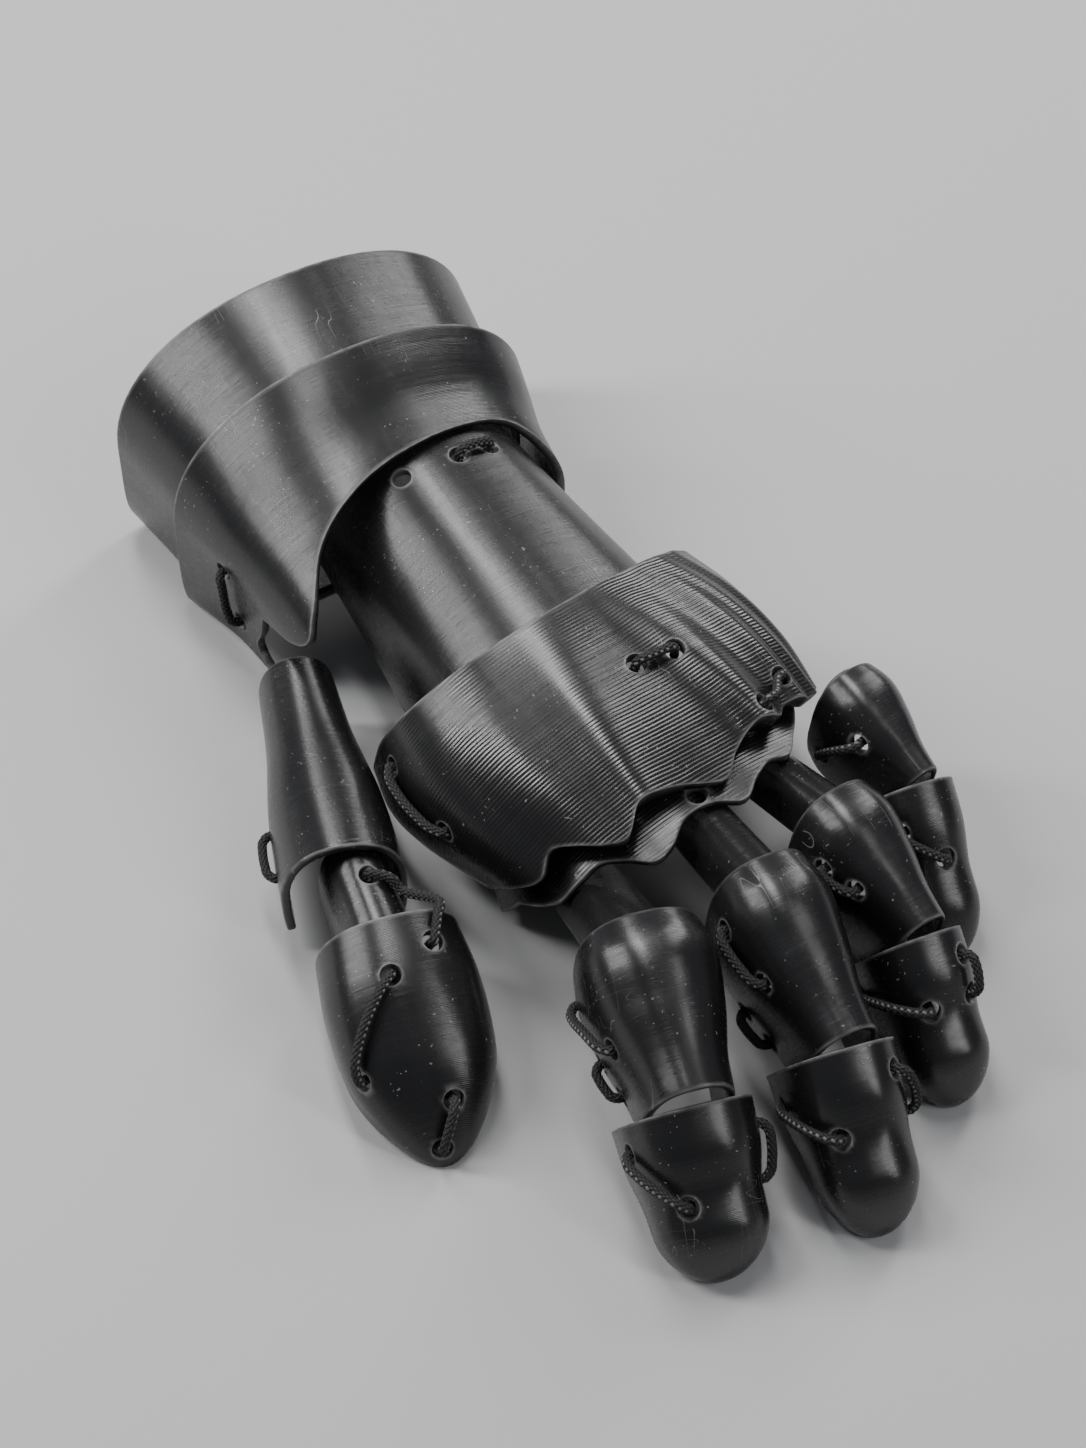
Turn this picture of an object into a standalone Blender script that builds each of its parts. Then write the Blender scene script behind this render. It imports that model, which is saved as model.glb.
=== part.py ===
"""Fencing glove for the left hand, lying palm down: rigid printed plates laced together with braided cord.

Metres, +Z up. The cuff is towards +Y, the finger tips towards -Y and the thumb towards -X. The origin is
on the floor, under the middle of the glove.
"""

import math

import bmesh
import bpy
import numpy as np
from mathutils import Matrix, Vector

# Driving dimensions
WALL = 0.0026
PLAY = 0.0009
FINGER_PLAY = 0.0021
SIDE_PLAY = 0.0034
CORD_DIAMETER = 0.0029
CORD_GAP = 0.0007
CORD_BOW = 0.0007
CORD_AT_MOUTH = 0.0007
CORD_END = 0.0022
CORD_STEP = 1.3
HOLE_DIAMETER = 0.0056

CUFF_MIDDLE_X = 0.003
CUFF_MOUTH_Y = 0.157
CUFF_WIDTH = 0.122
CUFF_HEIGHT = 0.083
CUFF_REAR_LENGTH = 0.054
CUFF_FRONT_LENGTH = 0.039
CUFF_LAP = 0.017

CUFF_HEADING = -1.5
CUFF_FRONT_WIDTH = 0.121
CUFF_FRONT_HEIGHT = 0.083
CUFF_FLAT = 0.97

BACK_X = 0.010
BACK_HEADING = 1
BACK_WIDTH = 0.090
BACK_HEIGHT = 0.044
BACK_LENGTH = 0.098
BACK_LAP = 0.016

KNUCKLE_X = 0.011
KNUCKLE_Y = 0.030
KNUCKLE_Z = 0.016
KNUCKLE_HEADING = 6
KNUCKLE_DROOP = 9
KNUCKLE_WIDTH = 0.120
KNUCKLE_HEIGHT = 0.056
KNUCKLE_LENGTH = 0.070
KNUCKLE_REAR_DIP = 0.010
RIDGE_START = 0.25
UNDER_SHOWN = 0.028
UNDER_PLAY = 0.0014
UNDER_LENGTH = 0.034

FINGER_LAP = 0.005
MID_REAR_BULGE = 0.006
ROOT_WIDTH = 0.74
ROOT_HEIGHT = 0.80
ROOTS_BESIDE_THE_HAND = ("little",)
THUMB_LAP = 0.008
TILT_STEPS = 6

HOLE_SIDES = 8
SHARP_ANGLE = 40

BLACK_PLASTIC = (0.014, 0.014, 0.015, 1.0)
BLACK_CORD = (0.010, 0.010, 0.011, 1.0)

STATION_COLUMNS = ("at", "width", "crest", "base")

# Shares of a plate's length, of its width and of its height, from its rear rim to its front
CUFF_REAR_FORM = (
    (0.00, 1.00, 1.00, 0.00),
    (0.35, 0.95, 0.80, 0.00),
    (0.72, 0.90, 0.46, 0.00),
    (1.00, 0.84, 0.00, 0.00),
)
CUFF_FRONT_FORM = (
    (0.00, 1.00, 1.00, 0.03),
    (0.25, 0.96, 0.955, 0.04),
    (0.60, 0.90, 0.89, 0.06),
    (1.00, 0.87, 0.84, 0.08),
)
BACK_FORM = (
    (0.00, 0.78, 0.92, 0.00),
    (0.40, 0.86, 0.96, 0.00),
    (0.75, 0.95, 0.99, 0.00),
    (1.00, 1.00, 1.00, 0.00),
)
KNUCKLE_FORM = (
    (0.00, 0.94, 0.98, 0.00),
    (0.30, 1.01, 1.00, 0.00),
    (0.65, 1.00, 0.99, 0.05),
    (1.00, 0.93, 0.94, 0.12),
)
ROOT_FORM = (
    (0.00, 0.90, 0.92, 0.00),
    (0.50, 0.94, 0.96, 0.00),
    (1.00, 1.00, 1.00, 0.00),
)
MID_FORM = (
    (0.00, 0.80, -0.10, 0.00),
    (0.18, 1.00, 0.90, 0.00),
    (0.50, 0.72, 0.66, 0.00),
    (0.78, 0.20, 0.18, 0.02),
    (1.00, 0.00, 0.00, 0.04),
)
TIP_FORM = (
    (0.00, 1.00, 1.00, 0.00),
    (0.25, 0.97, 0.95, 0.05),
    (0.50, 0.86, 0.80, 0.13),
    (0.72, 0.83, 0.76, 0.20),
    (1.00, 0.76, 0.66, 0.30),
)
THUMB_BASE_FORM = (
    (0.00, 0.62, 0.74, 0.00),
    (0.30, 0.72, 0.78, 0.00),
    (0.62, 0.92, 0.88, 0.00),
    (1.00, 1.00, 1.00, 0.00),
)
THUMB_TIP_FORM = (
    (0.00, 0.96, 1.00, 0.00),
    (0.25, 1.04, 0.98, 0.03),
    (0.55, 1.00, 0.86, 0.08),
    (0.80, 0.86, 0.70, 0.14),
    (1.00, 0.70, 0.50, 0.20),
)

EDGE_COLUMNS = ("across", "reach")

# Where the front edge runs, as shares of the plate's length
CUFF_FRONT_EDGE = (
    (-1.00, 0.95), (-0.95, 1.12), (-0.90, 1.00), (-0.84, 0.98), (-0.78, 1.20), (-0.72, 1.52),
    (-0.63, 1.76), (-0.52, 1.66), (-0.34, 1.26), (-0.18, 1.04), (0.00, 0.88), (0.20, 0.80),
    (0.42, 0.79), (0.62, 0.98), (0.80, 1.05), (1.00, 0.95),
)
KNUCKLE_EDGE = (
    (-1.00, 0.68), (-0.93, 0.79), (-0.74, 0.96), (-0.60, 1.02), (-0.47, 0.97), (-0.39, 1.03),
    (-0.31, 1.11), (-0.26, 1.14), (-0.17, 1.05), (-0.09, 1.06), (-0.03, 1.09), (0.03, 1.15),
    (0.10, 1.07), (0.19, 1.01), (0.28, 1.03), (0.36, 0.98), (0.50, 0.99), (0.66, 0.92), (0.84, 0.86),
    (1.00, 0.70),
)
UNDER_EDGE = (
    (-1.00, 0.50), (-0.86, 0.80), (-0.68, 1.04), (-0.52, 1.06), (-0.40, 1.08), (-0.31, 1.22),
    (-0.25, 1.35), (-0.17, 1.33), (-0.08, 1.19), (-0.01, 1.20), (0.05, 1.33), (0.14, 1.20),
    (0.22, 1.13), (0.30, 1.16), (0.40, 1.00), (0.56, 0.76), (0.76, 0.50), (1.00, 0.40),
)

RIDGE_COLUMNS = ("rear", "front", "rise", "spread")

# Ridges of the knuckle plate, placed across it at its rear and at its front
KNUCKLE_RIDGES = (
    (-0.28, -0.34, 0.0030, 0.16),
    (-0.05, -0.14, 0.0050, 0.10),
    (0.10, 0.23, 0.0050, 0.07),
    (0.26, 0.44, 0.0030, 0.05),
    (0.34, 0.57, 0.0026, 0.045),
    (0.44, 0.70, 0.0024, 0.045),
)

FINGER_COLUMNS = (
    "name", "mouth_x", "mouth_y", "tip_heading", "tip_droop", "tip_length", "tip_width", "tip_height",
    "mid_heading", "mid_droop", "mid_length", "mid_width", "mid_height",
    "root_heading", "root_droop", "root_length",
)

# Each finger, from the mouth of its tip plate backwards
FINGERS = (
    ("index", -0.0303, -0.1190, -15, 27, 0.046, 0.0375, 0.040, -15, 13, 0.046, 0.0390, 0.041, -12, -10, 0.058),
    ("middle", 0.0130, -0.1255, -13, 27, 0.050, 0.0330, 0.041, -6, 14, 0.049, 0.0330, 0.042, -6, -10, 0.058),
    ("ring", 0.0505, -0.1055, -9, 27, 0.046, 0.0300, 0.040, 2, 14, 0.040, 0.0300, 0.040, 2, -10, 0.050),
    ("little", 0.0808, -0.0635, -12, 27, 0.049, 0.0260, 0.036, 4, 14, 0.032, 0.0260, 0.035, 6, 8, 0.010),
)

THUMB_X = -0.0720
THUMB_Y = -0.0330
THUMB_WIDTH = 0.043
THUMB_HEIGHT = 0.038
THUMB_BASE_WIDTH = 0.0365
THUMB_BASE_SHIFT = 0.0036
THUMB_JOINT_WIDTH = 0.0215
THUMB_JOINT_SHIFT = 0.0020
THUMB_BASE_HEIGHT = 0.036
THUMB_TIP_LENGTH = 0.064
THUMB_JOINT_LENGTH = 0.034
THUMB_BASE_LENGTH = 0.078
THUMB_TIP_HEADING = -14
THUMB_TIP_DROOP = 12
THUMB_JOINT_HEADING = -12
THUMB_JOINT_DROOP = 5
THUMB_BASE_HEADING = -18
THUMB_BASE_DROOP = 0


def column(table, columns, name):
    """One named column of a table, as an array."""
    place = columns.index(name)
    return np.array([row[place] for row in table], float)


def smooth(table, columns, name, at):
    """A column's value on a smooth curve through the rows, at places of the table's first column."""
    places = column(table, columns, columns[0])
    values = column(table, columns, name)
    slopes = np.gradient(values, places)
    at = np.clip(at, places[0], places[-1])
    low = np.clip(np.searchsorted(places, at, side="right") - 1, 0, len(places) - 2)
    step = places[low + 1] - places[low]
    f = (at - places[low]) / step
    return (
        (2 * f**3 - 3 * f**2 + 1) * values[low]
        + (f**3 - 2 * f**2 + f) * step * slopes[low]
        + (3 * f**2 - 2 * f**3) * values[low + 1]
        + (f**3 - f**2) * step * slopes[low + 1]
    )


class Plate:
    """An arched plate: a row of sections along a straight line that points from the cuff to the tips."""

    def __init__(self, name, seat, heading, droop, length, width, height, form, **options):
        self.name = name
        self.seat = np.array(seat, float)
        self.length = length
        self.width = width
        self.height = height
        self.form = form
        self.front_width = options.get("front_width", 0.0)
        self.front_height = options.get("front_height", 0.0)
        self.wrap = math.radians(options.get("wrap", 118))
        self.square = options.get("square", 2.5)
        self.low_square = options.get("low_square", self.square)
        self.widest = options.get("widest", 0.40)
        self.flat = options.get("flat", 1.0)
        self.closes_at = options.get("closes_at")
        self.edge = options.get("edge")
        self.rear_dip = options.get("rear_dip", 0.0)
        self.ridges = options.get("ridges", ())
        self.rows = options.get("rows", 6)
        self.columns = options.get("columns", 10)
        self.turn(heading, droop)

    def turn(self, heading, droop):
        """Sets the plate's own side, forward and up directions."""
        self.heading = heading
        self.droop = droop
        h = math.radians(heading)
        d = math.radians(droop)
        self.side = np.array([math.cos(h), math.sin(h), 0.0])
        self.forward = np.array([math.sin(h) * math.cos(d), -math.cos(h) * math.cos(d), -math.sin(d)])
        self.up = np.array([math.sin(h) * math.sin(d), -math.cos(h) * math.sin(d), math.cos(d)])

    def reach(self, at, across):
        """How far forward of the rear rim a point lies."""
        front = self.length * np.ones_like(across)
        if self.edge:
            front = self.length * smooth(self.edge, EDGE_COLUMNS, "reach", across)
        rear = self.rear_dip * (1 - across**2)
        return rear * (1 - at) + front * at

    def section(self, at):
        """Half the width, and the heights of the crest and of the base."""
        swell = smooth(self.form, STATION_COLUMNS, "width", at)
        half = 0.5 * (self.front_width + (self.width - self.front_width) * swell)
        swell = smooth(self.form, STATION_COLUMNS, "crest", at)
        crest = self.front_height + (self.height - self.front_height) * swell
        return half, crest, self.height * smooth(self.form, STATION_COLUMNS, "base", at)

    def surface(self, at, across):
        """Points of the outer face before its ridges, where across runs from -1 to 1 over the arch."""
        half, crest, base = self.section(at)
        if self.closes_at is not None:
            part = np.clip((at - self.closes_at) / (1 - self.closes_at), 0, 1)
            nose = np.sqrt(np.maximum(0.0, 1 - part**2))
            toe = self.height * self.form[-1][STATION_COLUMNS.index("base")]
            half = half * nose
            crest = toe + (crest - toe) * nose
            base = toe + (base - toe) * nose
        widest = base + self.widest * (crest - base)
        angle = across * self.wrap
        power = 2 / np.where(np.cos(angle) > 0, self.square, self.low_square)
        x = half * np.sign(np.sin(angle)) * np.abs(np.sin(angle)) ** power
        rise = (crest - widest) * np.abs(np.cos(angle)) ** power
        lowered = (np.abs(np.cos(angle)) / abs(math.cos(self.wrap))) ** power / self.flat
        fall = (widest - base) * np.minimum(1.0, lowered)
        z = widest + np.where(np.cos(angle) > 0, rise, -fall)
        y = self.reach(at, across)
        return self.seat + x[..., None] * self.side + y[..., None] * self.forward + z[..., None] * self.up

    def facing(self, points_of, at, across):
        """Unit normals of a surface, pointing out of the arch."""
        step = 0.002
        last = 1.0 if self.closes_at is None else 0.999
        low = np.clip(at - step, 0, last - 2 * step)
        along = points_of(low + 2 * step, across) - points_of(low, across)
        left = np.clip(across - step, -1, 1 - 2 * step)
        level = np.minimum(at, last)
        over = points_of(level, left + 2 * step) - points_of(level, left)
        normal = np.cross(along, over)
        normal *= np.sign(np.dot(np.cross(self.forward, self.side), self.up))
        return normal / np.maximum(np.linalg.norm(normal, axis=-1, keepdims=True), 1e-12)

    def ridge_rise(self, at, across):
        """How far the ridges stand out."""
        total = np.zeros_like(at)
        for row in self.ridges:
            ridge = dict(zip(RIDGE_COLUMNS, row))
            line = ridge["rear"] + (ridge["front"] - ridge["rear"]) * at
            grown = RIDGE_START + (1 - RIDGE_START) * at
            total = total + ridge["rise"] * grown * np.exp(-(((across - line) / ridge["spread"]) ** 2))
        return total

    def outer(self, at, across):
        """Points of the outer face."""
        at, across = np.broadcast_arrays(np.asarray(at, float), np.asarray(across, float))
        points = self.surface(at, across)
        if len(self.ridges):
            lift = self.ridge_rise(at, across)
            points = points + self.facing(self.surface, at, across) * lift[..., None]
        return points

    def skin(self, at, across, lift):
        """Points at a distance above the outer face, or below it where lift is negative."""
        at, across = np.broadcast_arrays(np.asarray(at, float), np.asarray(across, float))
        normal = self.facing(self.outer, at, across)
        if self.closes_at is not None:
            normal = np.where((at >= 1.0)[..., None], self.forward, normal)
        return self.outer(at, across) + normal * lift

    def normal_at(self, at, across):
        """The outward direction at one point."""
        return self.skin(at, across, 1.0) - self.skin(at, across, 0.0)

    def places(self):
        """Shares of the length at which the mesh has a row, closer together round a nose."""
        if self.closes_at is None:
            return np.linspace(0, 1, self.rows + 1)
        body = np.linspace(0, self.closes_at, self.rows - 2)
        turn = np.sin(np.linspace(0, math.pi / 2, 4))[1:]
        return np.concatenate([body, self.closes_at + (1 - self.closes_at) * turn])

    def clearance_over(self, other):
        """The least height of this plate's inner face over the other's outer face, where they overlap."""
        along, over = np.meshgrid(np.linspace(0, 1, 41), np.linspace(-0.8, 0.8, 41), indexing="ij")
        points = other.skin(along, over, 0.0) - self.seat
        at = points @ self.forward / self.length
        for _ in range(3):
            half, crest, base = self.section(at)
            share = np.clip(points @ self.side / (half - WALL), -1, 1)
            across = np.arcsin(np.sign(share) * np.abs(share) ** (self.square / 2)) / self.wrap
            rear = self.reach(np.zeros_like(across), across)
            front = self.reach(np.ones_like(across), across)
            at = (points @ self.forward - rear) / (front - rear)
        widest = base + self.widest * (crest - base)
        arch = (1 - np.abs(share) ** self.square) ** (1 / self.square)
        inner = widest + (crest - WALL - widest) * arch
        covered = (at >= 0) & (at <= 1) & (np.abs(share) < 0.93)
        return float(np.min((inner - points @ self.up)[covered], initial=self.height))

    def crossings(self):
        """Shares of the arch at which the mesh has a column: even steps, and the turns of a shaped edge."""
        even = np.linspace(-1, 1, self.columns + 1)
        if not self.edge:
            return even
        turns = column(self.edge, EDGE_COLUMNS, "across")
        clear = [place for place in even if np.abs(turns - place).min() > 0.06]
        return np.sort(np.concatenate([turns, clear]))

    def is_tube(self):
        return abs(self.wrap - math.pi) < 1e-6


def black_material(name, color, roughness):
    material = bpy.data.materials.new(name)
    material.use_nodes = True
    shader = material.node_tree.nodes["Principled BSDF"]
    shader.inputs["Base Color"].default_value = color
    shader.inputs["Roughness"].default_value = roughness
    shader.inputs["Metallic"].default_value = 0.0
    material.diffuse_color = color
    return material


def new_object(name, data):
    thing = bpy.data.objects.new(name, data)
    bpy.context.scene.collection.objects.link(thing)
    return thing


def grid_faces(rows, columns, offset, flip):
    """Quads of a grid of points, or the same quads turned over."""
    faces = []
    for i in range(rows - 1):
        for j in range(columns - 1):
            corner = offset + i * columns + j
            quad = [corner, corner + 1, corner + columns + 1, corner + columns]
            faces.append(quad[::-1] if flip else quad)
    return faces


def rim_faces(ring, offset, closed):
    """Quads that join the outer face to the inner face along a line of points."""
    pairs = list(zip(ring, ring[1:] + ring[:1])) if closed else list(zip(ring, ring[1:]))
    return [[a, b, b + offset, a + offset] for a, b in pairs]


def plate_mesh(plate):
    """A closed shell of even thickness."""
    along, over = np.meshgrid(plate.places(), plate.crossings(), indexing="ij")
    rows, columns = along.shape
    count = rows * columns
    skins = [plate.skin(along, over, 0.0), plate.skin(along, over, -WALL)]
    if plate.is_tube():
        for skin in skins:
            skin[:, -1] = skin[:, 0]
    points = np.concatenate([skin.reshape(-1, 3) for skin in skins])
    faces = grid_faces(rows, columns, 0, False) + grid_faces(rows, columns, count, True)
    faces += rim_faces(list(range(columns)), count, False)
    if plate.closes_at is None:
        faces += rim_faces(list(range(count - columns, count)), count, False)
    if not plate.is_tube():
        faces += rim_faces(list(range(0, count, columns)), count, False)
        faces += rim_faces(list(range(columns - 1, count, columns)), count, False)
    mesh = bpy.data.meshes.new(plate.name)
    mesh.from_pydata([tuple(p) for p in points], [], faces)
    work = bmesh.new()
    work.from_mesh(mesh)
    bmesh.ops.remove_doubles(work, verts=work.verts, dist=1e-6)
    bmesh.ops.recalc_face_normals(work, faces=work.faces)
    if work.calc_volume(signed=True) < 0:
        bmesh.ops.reverse_faces(work, faces=work.faces)
    work.to_mesh(mesh)
    work.free()
    mesh.shade_smooth()
    mesh.set_sharp_from_angle(angle=math.radians(SHARP_ANGLE))
    return mesh


def drill(thing, plate, holes):
    """Cuts round holes square through the plate's wall."""
    if not holes:
        return
    work = bmesh.new()
    for at, across in holes:
        middle = plate.skin(at, across, -0.5 * WALL)
        axis = Vector(plate.normal_at(at, across))
        turn = axis.to_track_quat("Z", "Y").to_matrix().to_4x4()
        bmesh.ops.create_cone(
            work,
            cap_ends=True,
            segments=HOLE_SIDES,
            radius1=HOLE_DIAMETER / 2,
            radius2=HOLE_DIAMETER / 2,
            depth=4 * WALL,
            matrix=Matrix.Translation(Vector(middle)) @ turn,
        )
    mesh = bpy.data.meshes.new(plate.name + "_drill")
    work.to_mesh(mesh)
    work.free()
    cutter = new_object(plate.name + "_drill", mesh)
    cutter.hide_render = True
    cutter.display_type = "WIRE"
    cut = thing.modifiers.new("holes", "BOOLEAN")
    cut.operation = "DIFFERENCE"
    cut.solver = "EXACT"
    cut.object = cutter


def laid_on_floor(plate):
    """Lowers or raises a plate until its lowest corner meets the floor."""
    along, over = np.meshgrid(plate.places(), plate.crossings(), indexing="ij")
    lowest = min(plate.skin(along, over, 0.0)[..., 2].min(), plate.skin(along, over, -WALL)[..., 2].min())
    plate.seat[2] -= lowest
    return plate


def seat_under(inner, outer, play=PLAY):
    """Lifts or lowers the inner plate until its crest nearly meets the outer plate's inner face."""
    inner.seat = inner.seat + outer.up * (outer.clearance_over(inner) - play)


def seat_over(outer, inner):
    """Lifts or lowers the outer plate until its inner face nearly meets the inner plate."""
    outer.seat = outer.seat - outer.up * (outer.clearance_over(inner) - PLAY)


def seat_between(inner, front, lap, rear):
    """Hangs the inner plate's front crest a lap inside one plate and tilts its rear up to another."""
    for _ in range(TILT_STEPS):
        hung = front.skin(lap / front.length, 0.0, -WALL - PLAY)
        inner.seat = inner.seat + hung - inner.skin(1.0, 0.0, 0.0)
        seat_under(inner, front)
        lack = rear.clearance_over(inner) - PLAY
        inner.turn(inner.heading, inner.droop + math.degrees(lack / inner.length))
    inner.seat = inner.seat + hung - inner.skin(1.0, 0.0, 0.0)
    seat_under(inner, front)


def finger_plates(row, under):
    """The tip, the mid plate inside its mouth, and the root plate inside the mid plate's mouth."""
    size = dict(zip(FINGER_COLUMNS, row))
    name = size["name"]
    tip = laid_on_floor(Plate(
        name + "_tip_plate", (size["mouth_x"], size["mouth_y"], 0.0), size["tip_heading"],
        size["tip_droop"], size["tip_length"], size["tip_width"], size["tip_height"], TIP_FORM,
        closes_at=0.66, wrap=118, square=2.5, rows=7, columns=10,
    ))
    mid = Plate(
        name + "_mid_plate", (0, 0, 0), size["mid_heading"], size["mid_droop"],
        size["mid_length"], size["mid_width"], size["mid_height"], MID_FORM,
        front_width=size["tip_width"] - 2 * (WALL + SIDE_PLAY), front_height=size["tip_height"] - WALL - PLAY,
        wrap=118, square=2.5, rear_dip=-MID_REAR_BULGE, rows=6, columns=10,
    )
    mid.seat = tip.seat + tip.forward * FINGER_LAP - mid.forward * mid.length
    seat_under(mid, tip, FINGER_PLAY)
    root = Plate(
        name + "_root_plate", (0, 0, 0), size["root_heading"], size["root_droop"], size["root_length"],
        (size["mid_width"] - 2 * WALL) * ROOT_WIDTH, size["mid_height"] * ROOT_HEIGHT, ROOT_FORM,
        wrap=80, square=2.4, rows=3, columns=8,
    )
    root.seat = mid.seat + mid.forward * FINGER_LAP - root.forward * root.length
    if name in ROOTS_BESIDE_THE_HAND:
        seat_under(root, mid)
    else:
        seat_between(root, mid, FINGER_LAP, under)
    return [tip, mid, root]


def thumb_plates():
    """The thumb's tip, the short plate in its mouth, and the long base plate over that one."""
    tip = laid_on_floor(Plate(
        "thumb_tip_plate", (THUMB_X, THUMB_Y, 0), THUMB_TIP_HEADING, THUMB_TIP_DROOP,
        THUMB_TIP_LENGTH, THUMB_WIDTH, THUMB_HEIGHT, THUMB_TIP_FORM,
        closes_at=0.55, wrap=118, square=2.4, rows=7, columns=12,
    ))
    joint = Plate(
        "thumb_joint_plate", (0, 0, 0), THUMB_JOINT_HEADING, THUMB_JOINT_DROOP, THUMB_JOINT_LENGTH,
        THUMB_JOINT_WIDTH, THUMB_BASE_HEIGHT - WALL - PLAY, ROOT_FORM,
        wrap=95, square=2.4, rows=3, columns=8,
    )
    joint.seat = tip.seat + tip.forward * THUMB_LAP - joint.forward * joint.length
    joint.seat -= joint.side * THUMB_JOINT_SHIFT
    seat_under(joint, tip)
    base = Plate(
        "thumb_base_plate", (0, 0, 0), THUMB_BASE_HEADING, THUMB_BASE_DROOP, THUMB_BASE_LENGTH,
        THUMB_BASE_WIDTH, THUMB_BASE_HEIGHT, THUMB_BASE_FORM, wrap=110, square=2.3, rows=6, columns=10,
    )
    base.seat = joint.seat + joint.forward * THUMB_LAP - base.forward * base.length
    base.seat -= base.side * THUMB_BASE_SHIFT
    seat_over(base, joint)
    return [tip, joint, base]


def hand_plates():
    """The cuff's two plates, the two plates of the knuckles and the barrel between them."""
    knuckle = Plate(
        "knuckle_plate", (KNUCKLE_X, KNUCKLE_Y, KNUCKLE_Z), KNUCKLE_HEADING, KNUCKLE_DROOP, KNUCKLE_LENGTH,
        KNUCKLE_WIDTH, KNUCKLE_HEIGHT, KNUCKLE_FORM, wrap=104, square=2.4, widest=0.30,
        edge=KNUCKLE_EDGE, ridges=KNUCKLE_RIDGES, rear_dip=KNUCKLE_REAR_DIP, rows=6, columns=12,
    )
    under = Plate(
        "knuckle_under_plate", knuckle.seat + knuckle.forward * (KNUCKLE_LENGTH - UNDER_SHOWN),
        KNUCKLE_HEADING, KNUCKLE_DROOP, UNDER_LENGTH, 2 * (knuckle.section(1.0)[0] - WALL - UNDER_PLAY),
        KNUCKLE_HEIGHT - 2 * WALL, ROOT_FORM, wrap=98, square=2.4, widest=0.30, edge=UNDER_EDGE,
        rows=3, columns=10,
    )
    seat_under(under, knuckle)
    front_y = CUFF_MOUTH_Y - CUFF_REAR_LENGTH + CUFF_LAP
    cuff_front = Plate(
        "cuff_front_plate", (CUFF_MIDDLE_X, front_y, 0), CUFF_HEADING, 0, CUFF_FRONT_LENGTH,
        CUFF_FRONT_WIDTH, CUFF_FRONT_HEIGHT, CUFF_FRONT_FORM, wrap=112, square=2.2, low_square=6,
        widest=0.42, edge=CUFF_FRONT_EDGE, rows=5, columns=18,
    )
    shortest = CUFF_FRONT_LENGTH * column(CUFF_FRONT_EDGE, EDGE_COLUMNS, "reach").min()
    inside = cuff_front.section(CUFF_LAP / shortest)[1] - WALL - PLAY
    cuff_rear = Plate(
        "cuff_rear_plate", (CUFF_MIDDLE_X, CUFF_MOUTH_Y, 0), CUFF_HEADING, 0, CUFF_REAR_LENGTH,
        CUFF_WIDTH, CUFF_HEIGHT, CUFF_REAR_FORM, front_height=inside, flat=CUFF_FLAT,
        wrap=180, square=2.2, low_square=7, widest=0.45, rows=4, columns=32,
    )
    back = Plate(
        "hand_back_plate", (BACK_X, KNUCKLE_Y - BACK_LAP + BACK_LENGTH, KNUCKLE_Z), BACK_HEADING, 0,
        BACK_LENGTH, BACK_WIDTH, BACK_HEIGHT, BACK_FORM, wrap=92, square=2.3, widest=0.05,
        rows=4, columns=16,
    )
    seat_between(back, knuckle, BACK_LAP, cuff_front)
    return [cuff_rear, cuff_front, back, knuckle, under]


# Stitches: a name, then the places that the cord passes. The first and last are holes
LACES = (
    ("cuff_top", (("hand_back_plate", 0.15, 0.08), ("hand_back_plate", 0.15, 0.26))),
    ("cuff_thumb", (("cuff_front_plate", 0.50, -0.78), ("cuff_front_plate", 0.74, -0.84))),
    ("knuckle_top", (("knuckle_plate", 0.40, 0.03), ("knuckle_plate", 0.48, 0.12))),
    ("knuckle_left", (("knuckle_plate", 0.15, -0.81), ("knuckle_plate", 0.58, -0.78))),
    ("knuckle_right", (("knuckle_plate", 0.87, 0.40), ("knuckle_plate", 0.92, 0.25))),
    ("thumb_base", (("thumb_base_plate", 0.68, -0.82), ("thumb_base_plate", 0.86, -0.84))),
    (
        "thumb_slot",
        (
            ("thumb_joint_plate", 0.38, 0.08), ("thumb_joint_plate", 0.48, 0.30, 0.0026),
            ("thumb_joint_plate", 0.60, 0.44, 0.0030), ("thumb_tip_plate", -0.03, 0.32, 0.0018),
            ("thumb_tip_plate", 0.05, 0.26, 0.0022), ("thumb_tip_plate", 0.15, 0.20),
        ),
    ),
    ("thumb_tip", (("thumb_tip_plate", 0.26, -0.06), ("thumb_tip_plate", 0.62, -0.51))),
    ("thumb_toe", (("thumb_tip_plate", 0.80, 0.12), ("thumb_tip_plate", 0.95, -0.04))),
    ("index_mid", (("index_mid_plate", 0.17, -0.86), ("index_mid_plate", 0.59, -0.65))),
    ("index_loop", (("index_mid_plate", 0.52, -0.90), ("index_mid_plate", 0.74, -0.90))),
    ("index_tip", (("index_tip_plate", 0.17, -0.64), ("index_tip_plate", 0.55, -0.19))),
    ("index_side", (("index_tip_plate", 0.17, 0.58), ("index_tip_plate", 0.48, 0.64))),
    ("middle_mid", (("middle_mid_plate", 0.20, -0.62), ("middle_mid_plate", 0.55, -0.56))),
    ("middle_loop", (("middle_mid_plate", 0.50, -0.92), ("middle_mid_plate", 0.72, -0.92))),
    ("middle_tip", (("middle_tip_plate", 0.19, -0.78), ("middle_tip_plate", 0.45, -0.24))),
    ("middle_side", (("middle_tip_plate", 0.17, 0.34), ("middle_tip_plate", 0.39, 0.62))),
    ("ring_mid", (("ring_mid_plate", 0.34, -0.56), ("ring_mid_plate", 0.58, -0.46))),
    ("ring_tip", (("ring_tip_plate", 0.18, -0.80), ("ring_tip_plate", 0.43, -0.12))),
    ("ring_side", (("ring_tip_plate", 0.17, 0.29), ("ring_tip_plate", 0.40, 0.32))),
    ("little_mid", (("little_mid_plate", 0.24, -0.80), ("little_mid_plate", 0.50, -0.46))),
    ("little_tip", (("little_tip_plate", 0.24, -0.36), ("little_tip_plate", 0.45, 0.04))),
)

# Holes that no cord passes
EMPTY_HOLES = (
    ("hand_back_plate", 0.13, -0.19),
    ("knuckle_under_plate", 0.90, -0.02),
)


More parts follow.
